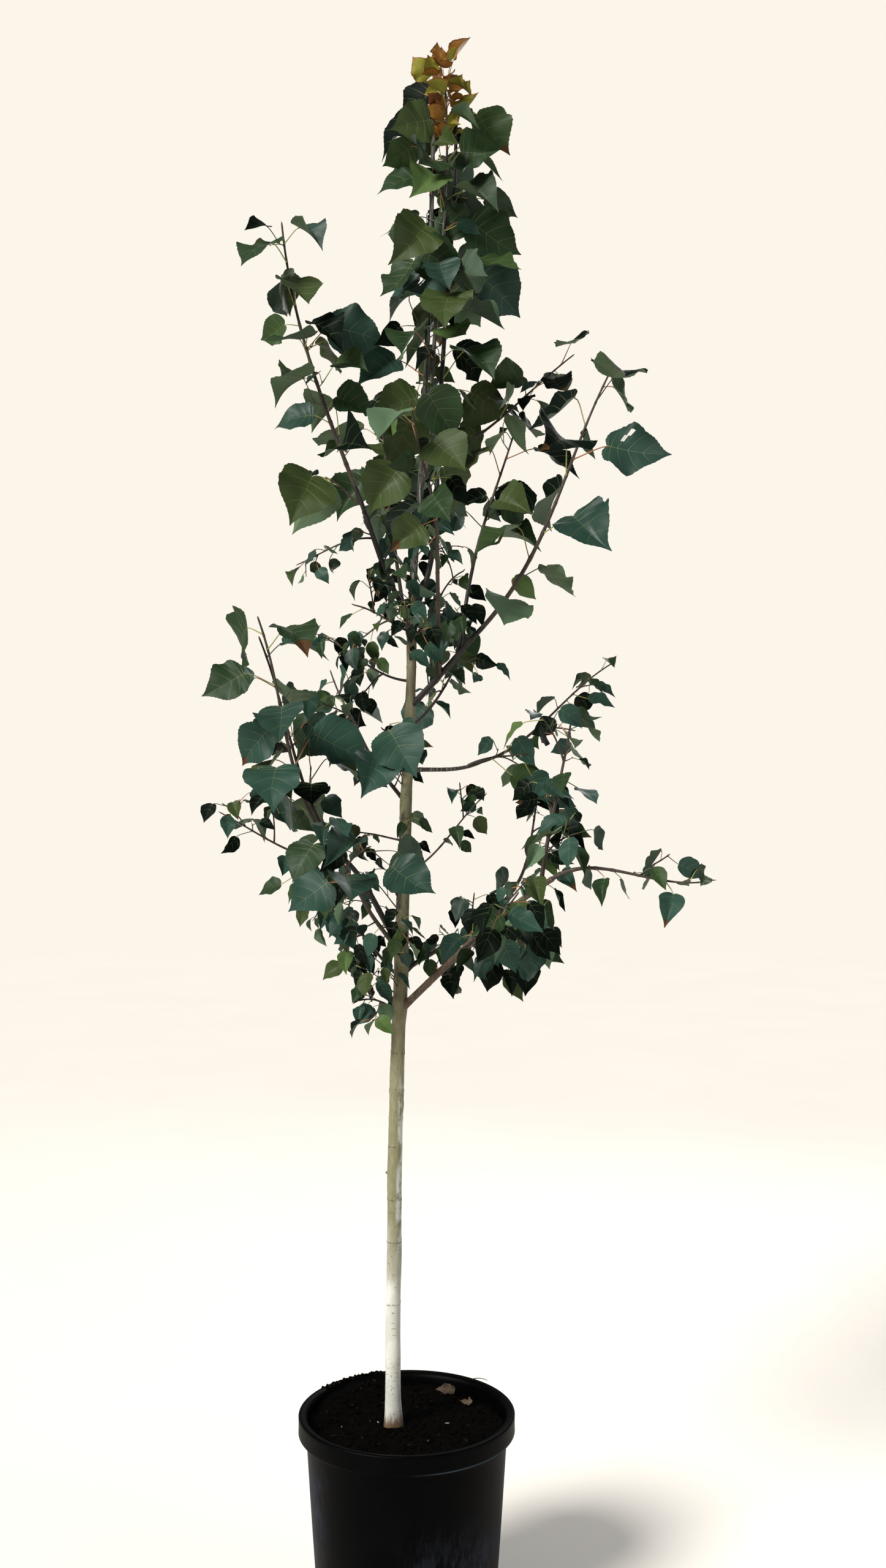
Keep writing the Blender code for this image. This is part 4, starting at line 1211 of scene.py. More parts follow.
@dataclass(frozen=True)
class PotFinish:
    """Moulded black plastic: bluish grey scuffed streaks low on its right, a painted reflection of bluish
    grey streaks down its left edge, and a painted highlight as a paler line along the right of the lip."""

    name: str
    black: Colour = (0.0003, 0.0003, 0.0004)
    worn: Colour = (0.0008, 0.0008, 0.001)
    # Bluish grey of the real scuffs low on the right; the same colour also paints a reflection down the left
    # edge.
    scuff: Colour = (0.028, 0.034, 0.05)
    # The paler colour of a painted highlight: a thin line under the lip on the right.
    line: Colour = (0.03, 0.042, 0.055)
    scuff_top: float = 0.3
    # The height of the painted highlight's line, under the lip.
    highlight_height: float = 0.384

    def material(self) -> bpy.types.Material:
        """Builds the finish.

        Returns:
            The material.
        """
        graph = Graph(self.name)
        cloud = graph.noise(16.0, detail=4.0)
        peel = graph.noise(700.0, detail=2.0)
        streaks = graph.noise(70.0, 0.4, detail=6.0, rough=0.75, wide=1.8)
        east, height = graph.axis("X"), graph.axis("Z")
        right = (east - 0.5 * graph.axis("Y")).rise(0.06, 0.19) * height.rise(self.scuff_top, 0.1)
        # Painted reflection: a narrow strip of bluish grey streaks down the pot's left edge.
        left = (0.0 - east).rise(0.135, 0.18) * height.rise(0.385, 0.3) * 0.8
        # Real scuffs on the right and the painted reflection on the left share one streaky mask.
        scuffs_and_reflection = (right + left) * (0.45 * cloud + 0.75 * streaks).rise(0.52, 0.72)
        colour = graph.mix(cloud.rise(0.35, 0.75), self.black, self.worn)
        colour = graph.mix(scuffs_and_reflection * 0.9, colour, self.scuff)
        # Painted highlight: a thin paler line just under the lip, on the pot's right.
        painted_highlight = height.rise(self.highlight_height - 0.0012, self.highlight_height)
        painted_highlight = painted_highlight * height.rise(self.highlight_height + 0.003, self.highlight_height + 0.001)
        colour = graph.mix(painted_highlight * east.rise(0.0, 0.1) * cloud.rise(0.3, 0.5), colour, self.line)
        return graph.dress(
            Base_Color=colour,
            Roughness=0.38 + 0.16 * cloud + 0.2 * scuffs_and_reflection,
            Specular_IOR_Level=0.03,
            Normal=graph.bump(peel + 0.8 * streaks, 0.0003, 0.35),
        )


@dataclass(frozen=True)
class SoilFinish:
    """Potting mix or one of its bits: crumbly, with two tones of the same stuff."""

    name: str
    dark: Colour
    light: Colour

    def material(self) -> bpy.types.Material:
        """Builds the finish.

        Returns:
            The material.
        """
        graph = Graph(self.name)
        grit = graph.noise(420.0, detail=6.0, rough=0.7)
        clods = graph.noise(110.0, detail=4.0)
        return graph.dress(
            Base_Color=graph.mix((0.5 * grit + 0.5 * clods).rise(0.4, 0.66), self.dark, self.light),
            Roughness=0.82 + 0.16 * grit,
            Specular_IOR_Level=0.02,
            Normal=graph.bump(grit + clods, 0.0022, 0.9),
        )


@dataclass(frozen=True)
class FloorFinish:
    """A plain pale painted floor."""

    name: str
    light: Colour = (0.869, 0.822, 0.754)
    shade: Colour = (0.85, 0.803, 0.736)

    def material(self) -> bpy.types.Material:
        """Builds the finish.

        Returns:
            The material.
        """
        graph = Graph(self.name)
        cloud = graph.noise(1.3, detail=3.0)
        return graph.dress(
            Base_Color=graph.mix(cloud.rise(0.3, 0.7), self.light, self.shade),
            Roughness=0.75 + 0.1 * cloud,
            Specular_IOR_Level=0.2,
        )


class Bark(Enum):
    """The kinds of bark on boughs, stems and twigs."""

    BROWN = BoughFinish(
        "bark_reddish_brown", (0.016, 0.01, 0.007), (0.05, 0.033, 0.021), (0.16, 0.13, 0.1), 0.35
    )
    OLIVE = BoughFinish("bark_olive_grey", (0.014, 0.014, 0.01), (0.06, 0.059, 0.042), (0.3, 0.29, 0.25), 1.0)
    STREAKED = BoughFinish(
        "bark_brown_streaked", (0.015, 0.012, 0.009), (0.048, 0.04, 0.031), (0.32, 0.3, 0.26), 1.0
    )
    TAN = BoughFinish(
        "bark_orange_brown", (0.04, 0.024, 0.013), (0.125, 0.078, 0.045), (0.26, 0.2, 0.14), 0.5
    )
    DARK = BoughFinish("bark_blackish", (0.004, 0.003, 0.003), (0.014, 0.01, 0.008), (0.06, 0.05, 0.042), 0.4)


class Skin(Enum):
    """The skins of leaf blades, for both faces."""

    DEEP = BladeFinish("blade_deep_green", (0.017, 0.036, 0.013))
    BLUE = BladeFinish("blade_blue_green", (0.015, 0.04, 0.027), 0.36, 0.24)
    TEAL = BladeFinish("blade_teal_green", (0.02, 0.052, 0.036), 0.4, 0.14)
    # A near-black skin that paints shade: it stands for leaves that lie in shadow.
    DARKEST = BladeFinish("blade_darkest_green", (0.0022, 0.0055, 0.0028), 0.46, 0.05)
    MIDDLE = BladeFinish("blade_middle_green", (0.03, 0.056, 0.016))
    OLIVE = BladeFinish("blade_olive_green", (0.036, 0.054, 0.015))
    BRIGHT = BladeFinish("blade_bright_green", (0.07, 0.118, 0.034))
    SAGE = BladeFinish("blade_sage_green", (0.082, 0.135, 0.074), 0.5, 0.12)
    LIME = BladeFinish("blade_yellow_green", (0.2, 0.19, 0.024), 0.45)
    COPPER = BladeFinish("blade_orange_brown", (0.235, 0.105, 0.018), 0.45)
    WINE = BladeFinish("blade_red_brown", (0.12, 0.04, 0.012), 0.45)
    UNDER = BladeFinish("blade_sage_underside", (0.085, 0.13, 0.07), 0.55, 0.12)
    UNDER_GREY = BladeFinish("blade_grey_green_underside", (0.052, 0.08, 0.052), 0.55, 0.12)
    SCORCH = BladeFinish("blade_scorched_brown", (0.06, 0.028, 0.01), 0.6, 0.12)
    DRY = BladeFinish("blade_dry_brown", (0.075, 0.05, 0.034), 0.65, 0.12)


class Growth(Enum):
    """The finishes of veins, stalks and buds."""

    VEIN = GrowthFinish("vein_pale_green", (0.118, 0.144, 0.053))
    VEIN_YOUNG = GrowthFinish("vein_yellow", (0.3, 0.22, 0.05))
    STALK_GREEN = GrowthFinish("stalk_yellow_green", (0.25, 0.26, 0.07))
    STALK_RED = GrowthFinish("stalk_red_orange", (0.32, 0.125, 0.045))
    STALK_DARK = GrowthFinish("stalk_dark_green", (0.04, 0.05, 0.018))
    BUD = GrowthFinish("bud_red_brown", (0.06, 0.02, 0.012), 0.35)


class Ground(Enum):
    """The finishes of the potting mix and what lies on it."""

    SOIL = SoilFinish("soil_black_brown", (0.0006, 0.0005, 0.0004), (0.003, 0.0023, 0.0018))
    CRUMB = SoilFinish("soil_crumb_brown", (0.0008, 0.0006, 0.0005), (0.005, 0.0037, 0.0028))
    CHIP = SoilFinish("soil_bark_chip", (0.004, 0.0028, 0.002), (0.016, 0.01, 0.0065))
    PALE = SoilFinish("soil_pale_fleck", (0.2, 0.17, 0.13), (0.42, 0.38, 0.32))


class Body(Enum):
    """The trunk's own bark and the pot's plastic."""

    TRUNK = TrunkFinish("bark_pale_trunk")
    POT = PotFinish("pot_moulded_black")


# The bark of the limbs that aren't reddish brown.
BARKS = {
    "leader_left": Bark.OLIVE,
    "top_left": Bark.OLIVE,
    "leader_middle": Bark.STREAKED,
    "top_middle": Bark.STREAKED,
    "leader_right": Bark.DARK,
    "top_right": Bark.DARK,
    "bough_lower_left": Bark.DARK,
    "bough_upper_left": Bark.DARK,
    "bough_upper_right": Bark.DARK,
    "bough_right_inner": Bark.DARK,
    "bough_middle_right": Bark.STREAKED,
    "bough_lower_right": Bark.TAN,
}
# Stems that were cut back, so that they end flat and without a bud.
CUT_BACK = ("top_left", "top_right")
# Mature skins with their weights, for large leaves and for the small ones inside the crown. The darkest
# skin is painted shade, and it is dealt out most to the small leaves inside the crown.
LARGE_SKINS = {
    Skin.DEEP: 28, Skin.BLUE: 16, Skin.TEAL: 14, Skin.MIDDLE: 13, Skin.OLIVE: 12, Skin.BRIGHT: 2,
    Skin.SAGE: 2, Skin.DARKEST: 17,
}
SMALL_SKINS = {
    Skin.DEEP: 24, Skin.BLUE: 14, Skin.TEAL: 14, Skin.MIDDLE: 9, Skin.OLIVE: 7, Skin.BRIGHT: 2, Skin.SAGE: 3,
    Skin.DARKEST: 36,
}
# How much likelier a skin is high in the crown; low in the crown it is as much rarer.
LIKELIER_ABOVE = {Skin.OLIVE: 1.7, Skin.MIDDLE: 1.5, Skin.BRIGHT: 1.4, Skin.BLUE: 0.75, Skin.TEAL: 0.45}
YOUNG_SKINS = {Skin.COPPER: 64, Skin.LIME: 24, Skin.WINE: 12}


@dataclass
class Layer:
    """Gathers grids of faces, and makes one object of them with a material for each finish."""

    name: str
    slot: str
    nodes: set[str] = field(default_factory=set)
    points: list[Array] = field(default_factory=list)
    faces: list[Array] = field(default_factory=list)
    marks: list[Array] = field(default_factory=list)
    finishes: list[Enum] = field(default_factory=list)
    count: int = 0

    def mark(self, finish: Enum) -> int:
        """The place of a finish among the layer's materials.

        Args:
            finish: The finish.

        Returns:
            The place.
        """
        if finish not in self.finishes:
            self.finishes.append(finish)
        return self.finishes.index(finish)

    def grid(
        self, places: Array, finish: Enum, ring: bool = True, flip: bool = False, keep: Array | None = None,
        spots: tuple[Array, Enum] | None = None,
    ) -> None:
        """Adds a grid of faces.

        Args:
            places: Its points as rows, columns and coordinates.
            finish: The finish of its faces.
            ring: Whether each row closes on itself.
            flip: Whether the faces look the other way.
            keep: Which faces stay, as rows and columns, or all.
            spots: Faces, as rows and columns, that get another finish, and that finish.
        """
        rows, columns = places.shape[:2]
        index = np.arange(rows * columns).reshape(rows, columns) + self.count
        if ring:
            index = np.concatenate((index, index[:, :1]), axis=1)
        quads = np.stack((index[:-1, :-1], index[:-1, 1:], index[1:, 1:], index[1:, :-1]), axis=-1)
        if flip:
            # The same corner stays first, so that the faces of a thin blade split along the same diagonal.
            quads = quads[..., [0, 3, 2, 1]]
        marks = np.full(quads.shape[:2], self.mark(finish))
        if spots is not None:
            marks[spots[0]] = self.mark(spots[1])
        keep = np.ones(quads.shape[:2], bool) if keep is None else keep
        self.points.append(places.reshape(-1, 3))
        self.faces.append(quads[keep])
        self.marks.append(marks[keep])
        self.count += rows * columns

    def build(self) -> bpy.types.Object:
        """Makes the object, sets it on the tree and reports it.

        Returns:
            The object.
        """
        mesh = bpy.data.meshes.new(self.name)
        faces = np.concatenate(self.faces)
        mesh.from_pydata(np.concatenate(self.points).tolist(), [], faces.tolist())
        mesh.polygons.foreach_set("material_index", np.concatenate(self.marks).astype(np.int32))
        mesh.polygons.foreach_set("use_smooth", np.ones(len(faces), bool))
        for finish in self.finishes:
            mesh.materials.append(material_of(finish))
        piece = bpy.data.objects.new(self.name, mesh)
        bpy.context.scene.collection.objects.link(piece)
        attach(piece, "root")
        if self.nodes:
            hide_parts(*sorted(self.nodes))
        LOG.info("%s: %d triangles, %d finishes", self.name, 2 * len(faces), len(self.finishes))
        return piece


@cache
def material_of(finish: Enum) -> bpy.types.Material:
    """The one material of a finish, made when it is first asked for."""
    return finish.value.material()


# Limbs.


@dataclass
class Tube:
    """A round limb with a skin: its sides, the spacing of its rings, its swellings, foot collar and end."""

    route: Route
    sides: int = 12
    step: float = 0.006
    swell_at: Sequence[float] = ()
    swell_by: float = 0.16
    swell_width: float = 0.004
    collar: float = 0.0
    collar_at: float = 0.0
    collar_width: float = 0.009
    uneven: float = 0.014
    # The waves of its uneven section: how many round it, and where each starts.
    lobes: tuple = ((2, 0.0), (3, 2.0), (5, 4.0))
    cut: bool = False
    # The rings that close the tip, as shares of its radius: how wide, and how far on.
    cut_end: tuple = ((0.97, 0.03), (0.55, 0.05), (0.02, 0.05))
    round_end: tuple = ((0.86, 0.45), (0.5, 0.8), (0.03, 0.95))
    seed: int = 0

    def places(self) -> Array:
        """The points of the limb's skin.

        Returns:
            Rings of points.
        """
        route = self.route
        shares = np.linspace(0.0, 1.0, max(6, round(route.length / self.step)))
        centres = route.smooth(shares)
        ahead = units(np.gradient(centres, axis=0))
        away = shares * route.length
        growth = 1.0 + self.collar * np.exp(-np.maximum(0.0, away - self.collar_at) / self.collar_width)
        for share in self.swell_at:
            growth += self.swell_by * bell(away - share * route.length, self.swell_width)
        centres, ahead, radii = self._close(centres, ahead, route.radius(shares) * growth)
        east = units(route.reference - ahead * (ahead @ route.reference)[:, None])
        rng = np.random.default_rng(self.seed)
        uneven = sum(np.sin(k * circle(self.sides) + rng.random() * 6.28 + start) for k, start in self.lobes)
        radii = radii[:, None] * (1.0 + self.uneven * uneven)
        return centres[:, None] + spokes(east, np.cross(ahead, east), self.sides) * radii[..., None]

    def _close(self, centres: Array, ahead: Array, radii: Array) -> tuple[Array, Array, Array]:
        """Adds the rings that close the tip.

        Args:
            centres: The rings' middles.
            ahead: Their directions.
            radii: Their radii.

        Returns:
            The three with the added rings.
        """
        ends = self.cut_end if self.cut else self.round_end
        added = [centres[-1] + ahead[-1] * radii[-1] * lift for _, lift in ends]
        ahead = np.vstack((ahead, [ahead[-1]] * len(ends)))
        return np.vstack((centres, added)), ahead, np.append(radii, [radii[-1] * share for share, _ in ends])


@dataclass
class Trunk:
    """The trunk: flare, ring scars, knots, a stub and the ridge under each bough."""

    sides: int = 44
    step: float = 0.0042
    ring_heights: tuple = (0.632, 0.751, 0.834, 0.99, 1.043, 1.118, 1.305, 1.462, 1.573, 1.741, 1.868)
    ring_swell: float = 0.0007
    ring_width: float = 0.0032
    # Each knot's height and bearing.
    knots: tuple = (
        (0.632, 200.0), (1.013, 350.0), (1.043, 150.0), (1.118, 250.0), (1.3, 300.0), (1.46, 240.0),
    )
    knot_swell: float = 0.0016
    knot_width: float = 0.007
    stub_height: float = 0.876
    stub_bearing: float = 185.0
    stub_lift: float = 0.45
    stub_reach: float = 0.0055
    stub_thick: Pair = (0.00768, 0.00416)
    ridge_width: float = 0.016
    ridge: float = 0.0022
    skin_radius: float = 0.012
    sway: float = 0.0007
    # Broad waves of the skin: how many a metre, how many round it, and how deep.
    waves: tuple = ((37.0, 2, 0.0003), (61.0, 3, 0.00022), (23.0, 1, 0.0004))
    grain: float = 0.00007
    roots: float = 0.0016

    def build(self, routes: dict[str, Route]) -> None:
        """Makes the trunk's skin with its stub.

        Args:
            routes: The routes of the trunk and boughs by name.
        """
        route = routes["trunk"]
        count = round(route.length / self.step)
        centres = route.smooth(np.linspace(0.0, 1.0, count))
        level = centres[:, 2]
        around = np.broadcast_to(circle(self.sides), (count, self.sides))
        radii = trunk_radius(level)[:, None] + self._relief(level[:, None] + 0.0 * around, around)
        sway = np.stack((np.sin(level * 11.0), np.cos(level * 8.3), np.zeros(count)), 1) * self.sway
        out = spokes(EAST, NORTH, self.sides)
        places = (centres + sway)[:, None] + out * radii[..., None]
        closing = [centres[-1] + UP * 0.002 + out * radii[-1].mean() * share for share in (0.8, 0.4, 0.01)]
        layer = Layer("trunk_bark", "bark_pale", {"trunk"})
        layer.grid(np.concatenate((places[:1] - UP * 0.006, places, closing)), Body.TRUNK)
        self._stub(layer, route)
        layer.build()

    def _relief(self, height: Array, around: Array) -> Array:
        """How far the bark stands out.

        Args:
            height: Heights above the ground.
            around: Angles about the trunk.

        Returns:
            The distance at each, in metres.
        """
        out = np.zeros_like(height)
        for k, ring in enumerate(self.ring_heights):
            above = height - ring - 0.0014 * np.sin(around + k * 2.1)
            out += self.ring_swell * bell(above, self.ring_width)
            out -= 0.4 * self.ring_swell * bell(above - self.ring_width * 1.5, self.ring_width * 0.5)
        for knot, bearing in self.knots:
            away = np.hypot(height - knot, self._beside(around, math.radians(bearing)))
            out += self.knot_swell * bell(away, self.knot_width)
            out -= 0.9 * self.knot_swell * bell(away, self.knot_width * 0.4)
        for limb in BOUGHS:
            if limb.parent == "trunk" and limb.at < 1.0:
                level = between((TRUNK_FOOT[2], TRUNK_FORK[2]), limb.at) + 0.004
                beside = self._beside(around, math.atan2(limb.tip[1], limb.tip[0] + 10))
                out += self.ridge * bell(np.hypot((height - level) * 0.8, beside), self.ridge_width)
        for k, (waves, turns, size) in enumerate(self.waves):
            out += size * np.sin(height * waves + turns * around + 1.7 * k)
        grain = np.random.default_rng(5).normal(0.0, self.grain, height.shape)
        return out + grain + self.roots * np.cos(3 * around + 0.6) * np.exp(-(height - TRUNK_FOOT[2]) / 0.03)

    def _beside(self, around: Array, bearing: float) -> Array:
        """How far angles lie from a bearing, in metres on the skin."""
        return self.skin_radius * np.angle(np.exp(1j * (around - bearing)))

    def _stub(self, layer: Layer, route: Route) -> None:
        """Adds the short dead stub on the left side.

        Args:
            layer: The trunk's layer.
            route: The trunk's route.
        """
        start = route.smooth((self.stub_height - TRUNK_FOOT[2]) / (TRUNK_FORK[2] - TRUNK_FOOT[2]))
        bearing = math.radians(self.stub_bearing)
        out = unit(np.array((math.cos(bearing), math.sin(bearing), self.stub_lift)))
        reach = float(trunk_radius(start[2:])[0]) + self.stub_reach
        stub = sprig(start, out, reach, (-10.0, 10.0), self.stub_thick, 0.01)
        layer.grid(Tube(stub, step=0.0015, cut=True, seed=3).places(), Body.TRUNK)


@dataclass
class Boughs:
    """The leaders and main boughs, each with its own bark."""

    sides: int = 18
    step: float = 0.004
    scar_from: float = 0.03
    scar_step: float = 0.055
    collar: float = 0.22

    def build(self, routes: dict[str, Route]) -> None:
        """Makes each bough as a piece of its own.

        Args:
            routes: The routes of the trunk and boughs by name.
        """
        for number, limb in enumerate(BOUGHS):
            route, forks = routes[limb.name], limb.at < 1.0
            tube = Tube(
                route, self.sides, self.step, swell_by=0.09, swell_width=0.002, seed=number, cut=True,
                swell_at=np.arange(self.scar_from, route.length, self.scar_step) / route.length,
                collar=self.collar if forks else 0.0,
                collar_at=float(routes[limb.parent].radius(limb.at)) if forks else 0.0,
            )
            layer = Layer(f"{limb.name}_bark", "bark_brown", {limb.name})
            layer.grid(tube.places(), BARKS.get(limb.name, Bark.BROWN))
            layer.build()


# Leaves.


@dataclass(frozen=True)
class Pattern:
    """How a leaf's blade is laid out: rows of points that run from the midrib out to the toothed margin."""

    rows: int
    columns: int
    tooth_size: float
    vein_rows: tuple[int, ...]
    vein_both_faces: bool
    # Below 1 the points crowd towards the margin.
    crowd: float
    # Half an outline from the stalk to the tip, as (share of the length, share of the half width).
    outline: tuple[Pair, ...]

    def margin(self) -> Array:
        """The right margin with its teeth.

        Returns:
            (along, across) in shares, one point a row.
        """
        knots = np.array(self.outline)
        padded = np.vstack((2 * knots[0] - knots[1], knots, 2 * knots[-1] - knots[-2]))
        t = np.linspace(0.0, 1.0, 24, endpoint=False)[:, None]
        fine = []
        for k in range(1, len(padded) - 2):
            before, start, end, after = padded[k - 1 : k + 3]
            square = 2 * before - 5 * start + 4 * end - after
            cube = 3 * start - before - 3 * end + after
            fine.append(0.5 * (2 * start + (end - before) * t + square * t * t + cube * t**3))
        line = np.vstack((*fine, knots[-1:])) * (1.0, BLADE_WIDTH / 2)
        away = np.concatenate(([0.0], np.cumsum(np.linalg.norm(np.diff(line, axis=0), axis=1))))
        rows = np.linspace(0.0, away[-1], self.rows + 1)
        even = np.stack([np.interp(rows, away, line[:, k]) for k in range(2)], 1)
        heading = units(np.gradient(even, axis=0))
        outward = np.stack((-heading[:, 1], heading[:, 0]), 1)
        share = rows / away[-1]
        fade = np.clip(share / 0.12, 0, 1) * np.clip((0.95 - share) / 0.12, 0, 1)
        teeth = (np.arange(self.rows + 1) % 2 - 0.5) * self.tooth_size
        even = even + outward * (teeth * fade)[:, None]
        even[:, 1] = np.maximum(even[:, 1], 0.002)
        return even / (1.0, BLADE_WIDTH / 2)


LARGE = Pattern(
    38, 4, 0.009, (3, 7, 12, 18, 24, 30), True, 0.9,
    (
        (0.0, 0.03), (-0.055, 0.28), (0.02, 0.68), (0.15, 0.93), (0.32, 1.0),
        (0.48, 0.94), (0.62, 0.74), (0.74, 0.46), (0.84, 0.22), (0.92, 0.085), (1.0, 0.01),
    ),
)
SMALL = Pattern(
    18, 3, 0.003, (3, 7, 11), False, 0.9,
    (
        (0.0, 0.04), (-0.025, 0.24), (0.06, 0.52), (0.23, 0.74), (0.4, 0.75),
        (0.58, 0.6), (0.76, 0.33), (0.9, 0.11), (1.0, 0.012),
    ),
)
YOUNG = Pattern(
    24, 5, 0.014, (3, 7, 11, 15), True, 0.55,
    (
        (0.0, 0.04), (-0.04, 0.32), (0.05, 0.74), (0.21, 0.96), (0.4, 0.97),
        (0.59, 0.82), (0.76, 0.5), (0.89, 0.17), (1.0, 0.012),
    ),
)


@dataclass
class Blades:
    """Builds leaf blades with their veins from leaves."""

    wave: Pair = (0.025, 0.085)
    wave_count: Pair = (1.2, 2.9)
    fine_wave: float = 0.008
    fine_count: float = 5.5
    quilt: float = 0.006
    nibble: float = 0.01
    lobes: float = 0.035
    lobe_count: Pair = (2.0, 3.6)
    twist: float = 0.55
    swerve: float = 0.55
    bend: float = 0.2
    fold: float = 0.8
    uneven_fold: float = 0.4
    thick: float = 0.0045
    # How far out a side vein's bend lies from the midrib, along and across, as shares.
    bow: Pair = (0.42, 0.54)
    rib_width: float = 0.018
    rib_end: float = 0.97
    rib_step: int = 2
    vein_width: float = 0.0085
    vein_lift: float = 0.003
    scorched: float = 0.07
    eaten: float = 0.05

    def __post_init__(self) -> None:
        """Lays out the patterns once."""
        self.layouts = {pattern: self._layout(pattern) for pattern in (LARGE, SMALL, YOUNG)}

    def _layout(self, pattern: Pattern) -> tuple[Array, Array, Array]:
        """The flat places of a pattern's grid.

        Args:
            pattern: The pattern.

        Returns:
            Shares along and across, and how far out each column lies, from -1 to 1.
        """
        margin = pattern.margin()
        rib = np.linspace(0.0, 1.0, pattern.rows + 1)[:, None] ** 2.5
        out = np.linspace(-1.0, 1.0, 2 * pattern.columns + 1)
        out = np.sign(out) * np.abs(out) ** pattern.crowd
        t = np.abs(out)
        end_u, end_v = margin[:, :1], margin[:, 1:]
        bow = rib + self.bow[0] * (end_u - rib) - 0.02
        u = rib * (1 - t) ** 2 + bow * 2 * t * (1 - t) + end_u * t**2
        v = self.bow[1] * end_v * 2 * t * (1 - t) + end_v * t**2
        return u, v * np.sign(out), np.broadcast_to(out, u.shape)

    def surface(self, leaf: Leaf, pattern: Pattern, rng: Random) -> Array:
        """The middle surface of a leaf's blade.

        Args:
            leaf: The leaf.
            pattern: The pattern of its blade.
            rng: Its random draws.

        Returns:
            Rows and columns of points.
        """
        u, v, out = self.layouts[pattern]
        on, off = np.clip(u, 0, 1), np.abs(out)
        own = np.random.default_rng(rng.getrandbits(32))
        nibble = own.normal(0.0, self.nibble, (pattern.rows + 1, 2))
        turns = own.uniform(*self.lobe_count, 2) * u[:, :1] + own.random(2)
        lobes = self.lobes * np.sin(2 * math.pi * turns)
        v = v * (1.0 + np.where(out < 0, *np.split(nibble + lobes, 2, axis=1)) * off**3)
        beside = np.abs(v)
        height = BLADE_CUP * beside - BLADE_CURL * np.maximum(u, 0.0) ** 2
        for hand in (-1.0, 1.0):
            size, waves = between(self.wave, rng.random()), between(self.wave_count, rng.random())
            ripple = np.sin(2 * math.pi * (waves * u + rng.random())) * beside**1.6
            height = height + size * ripple * (np.sign(v) == hand)
        turns = self.fine_count * u + rng.random()
        height = height + self.fine_wave * np.sin(2 * math.pi * turns) * beside**3
        first, last = pattern.vein_rows[0], pattern.vein_rows[-1]
        rows = (np.arange(pattern.rows + 1)[:, None] - first) * (len(pattern.vein_rows) - 1) / (last - first)
        fade = np.clip((0.93 - np.maximum(u, 0)) * 4, 0, 1)
        height = height + self.quilt * np.sin(math.pi * rows) ** 2 * 4 * off * (1 - off) * fade
        height = height + self.bend * (rng.random() - 0.5) * np.sin(math.pi * on)
        # Each half folds up by its own angle, less at the foot than along the blade.
        folds = rng.random() ** 1.5 * self.fold + self.uneven_fold * (own.random(2) - 0.5)
        slope = np.where(out < 0, folds[0], folds[1]) * np.clip(0.35 + 1.6 * u, 0, 1)
        half = beside * leaf.width / 2
        height = height * leaf.length + half * np.sin(slope)
        side = np.sign(out) * half * np.cos(slope)
        turn = self.twist * (rng.random() - 0.5) * 2 * on**1.5
        side, height = side * np.cos(turn) - 0.5 * height * np.sin(turn), height + side * np.sin(turn)
        side = side + self.swerve * (rng.random() - 0.5) * leaf.length * np.clip(u - 0.45, 0, 1) ** 2
        ahead = leaf.base + leaf.along * (u * leaf.length)[..., None]
        return ahead + leaf.across * side[..., None] + leaf.face * height[..., None]

    def add(self, leaf: Leaf, skin: Skin, blades: Layer, veins: Layer) -> None:
        """Adds a leaf's blade and veins.

        Args:
            leaf: The leaf.
            skin: The skin of its upper face.
            blades: The layer of blades.
            veins: The layer of veins.
        """
        pattern = YOUNG if leaf.young else LARGE if leaf.length >= LARGE_LEAF else SMALL
        rng = Random(leaf.key + " blade")
        middle = self.surface(leaf, pattern, rng)
        down = units(np.cross(np.gradient(middle, axis=0), np.gradient(middle, axis=1)))
        up = down * np.sign((down @ leaf.face).mean())
        depth = (self.thick / 2 * leaf.length * (1 - np.abs(self.layouts[pattern][2]) ** 4))[..., None]
        spots, keep = self._damage(pattern, leaf.young, skin, rng)
        under = rng.choice((Skin.UNDER, Skin.UNDER_GREY))
        if skin in (Skin.DRY, Skin.COPPER, Skin.WINE, Skin.LIME):
            under = skin
        blades.grid(middle + up * depth, skin, False, True, keep, spots)
        blades.grid(middle - up * depth, under, False, False, keep, spots)
        for hand in (1.0, -1.0):
            self._veins(leaf, pattern, middle, up * hand, depth, hand > 0, veins)

    def _damage(self, pattern: Pattern, young: bool, skin: Skin, rng: Random) -> tuple:
        """What mars a blade, or edges a young one.

        Args:
            pattern: The pattern of the blade.
            young: Whether the leaf is young.
            skin: The blade's skin.
            rng: Its random draws.

        Returns:
            The faces of another skin with that skin, if any, and the faces that aren't eaten away.
        """
        shape = (pattern.rows, 2 * pattern.columns)
        spots, keep = None, np.ones(shape, bool)
        marked = np.zeros(shape, bool)
        if young:
            marked[round(pattern.rows * 0.2):, [0, -1]] = True
            marked[-2:] = True
            return (marked, Skin.COPPER if skin is Skin.LIME else Skin.WINE), keep
        if rng.random() < self.scorched:
            marked[-round(pattern.rows * between((0.08, 0.2), rng.random())):] = True
            spots = (marked, Skin.SCORCH)
        if rng.random() < self.eaten and pattern is LARGE:
            row, column = rng.randrange(12, 30), rng.choice((1, 2, 5, 6))
            keep[row : row + 2, column] = False
            keep[row + 1 : row + 3, min(column + 1, shape[1] - 1)] = False
        return spots, keep

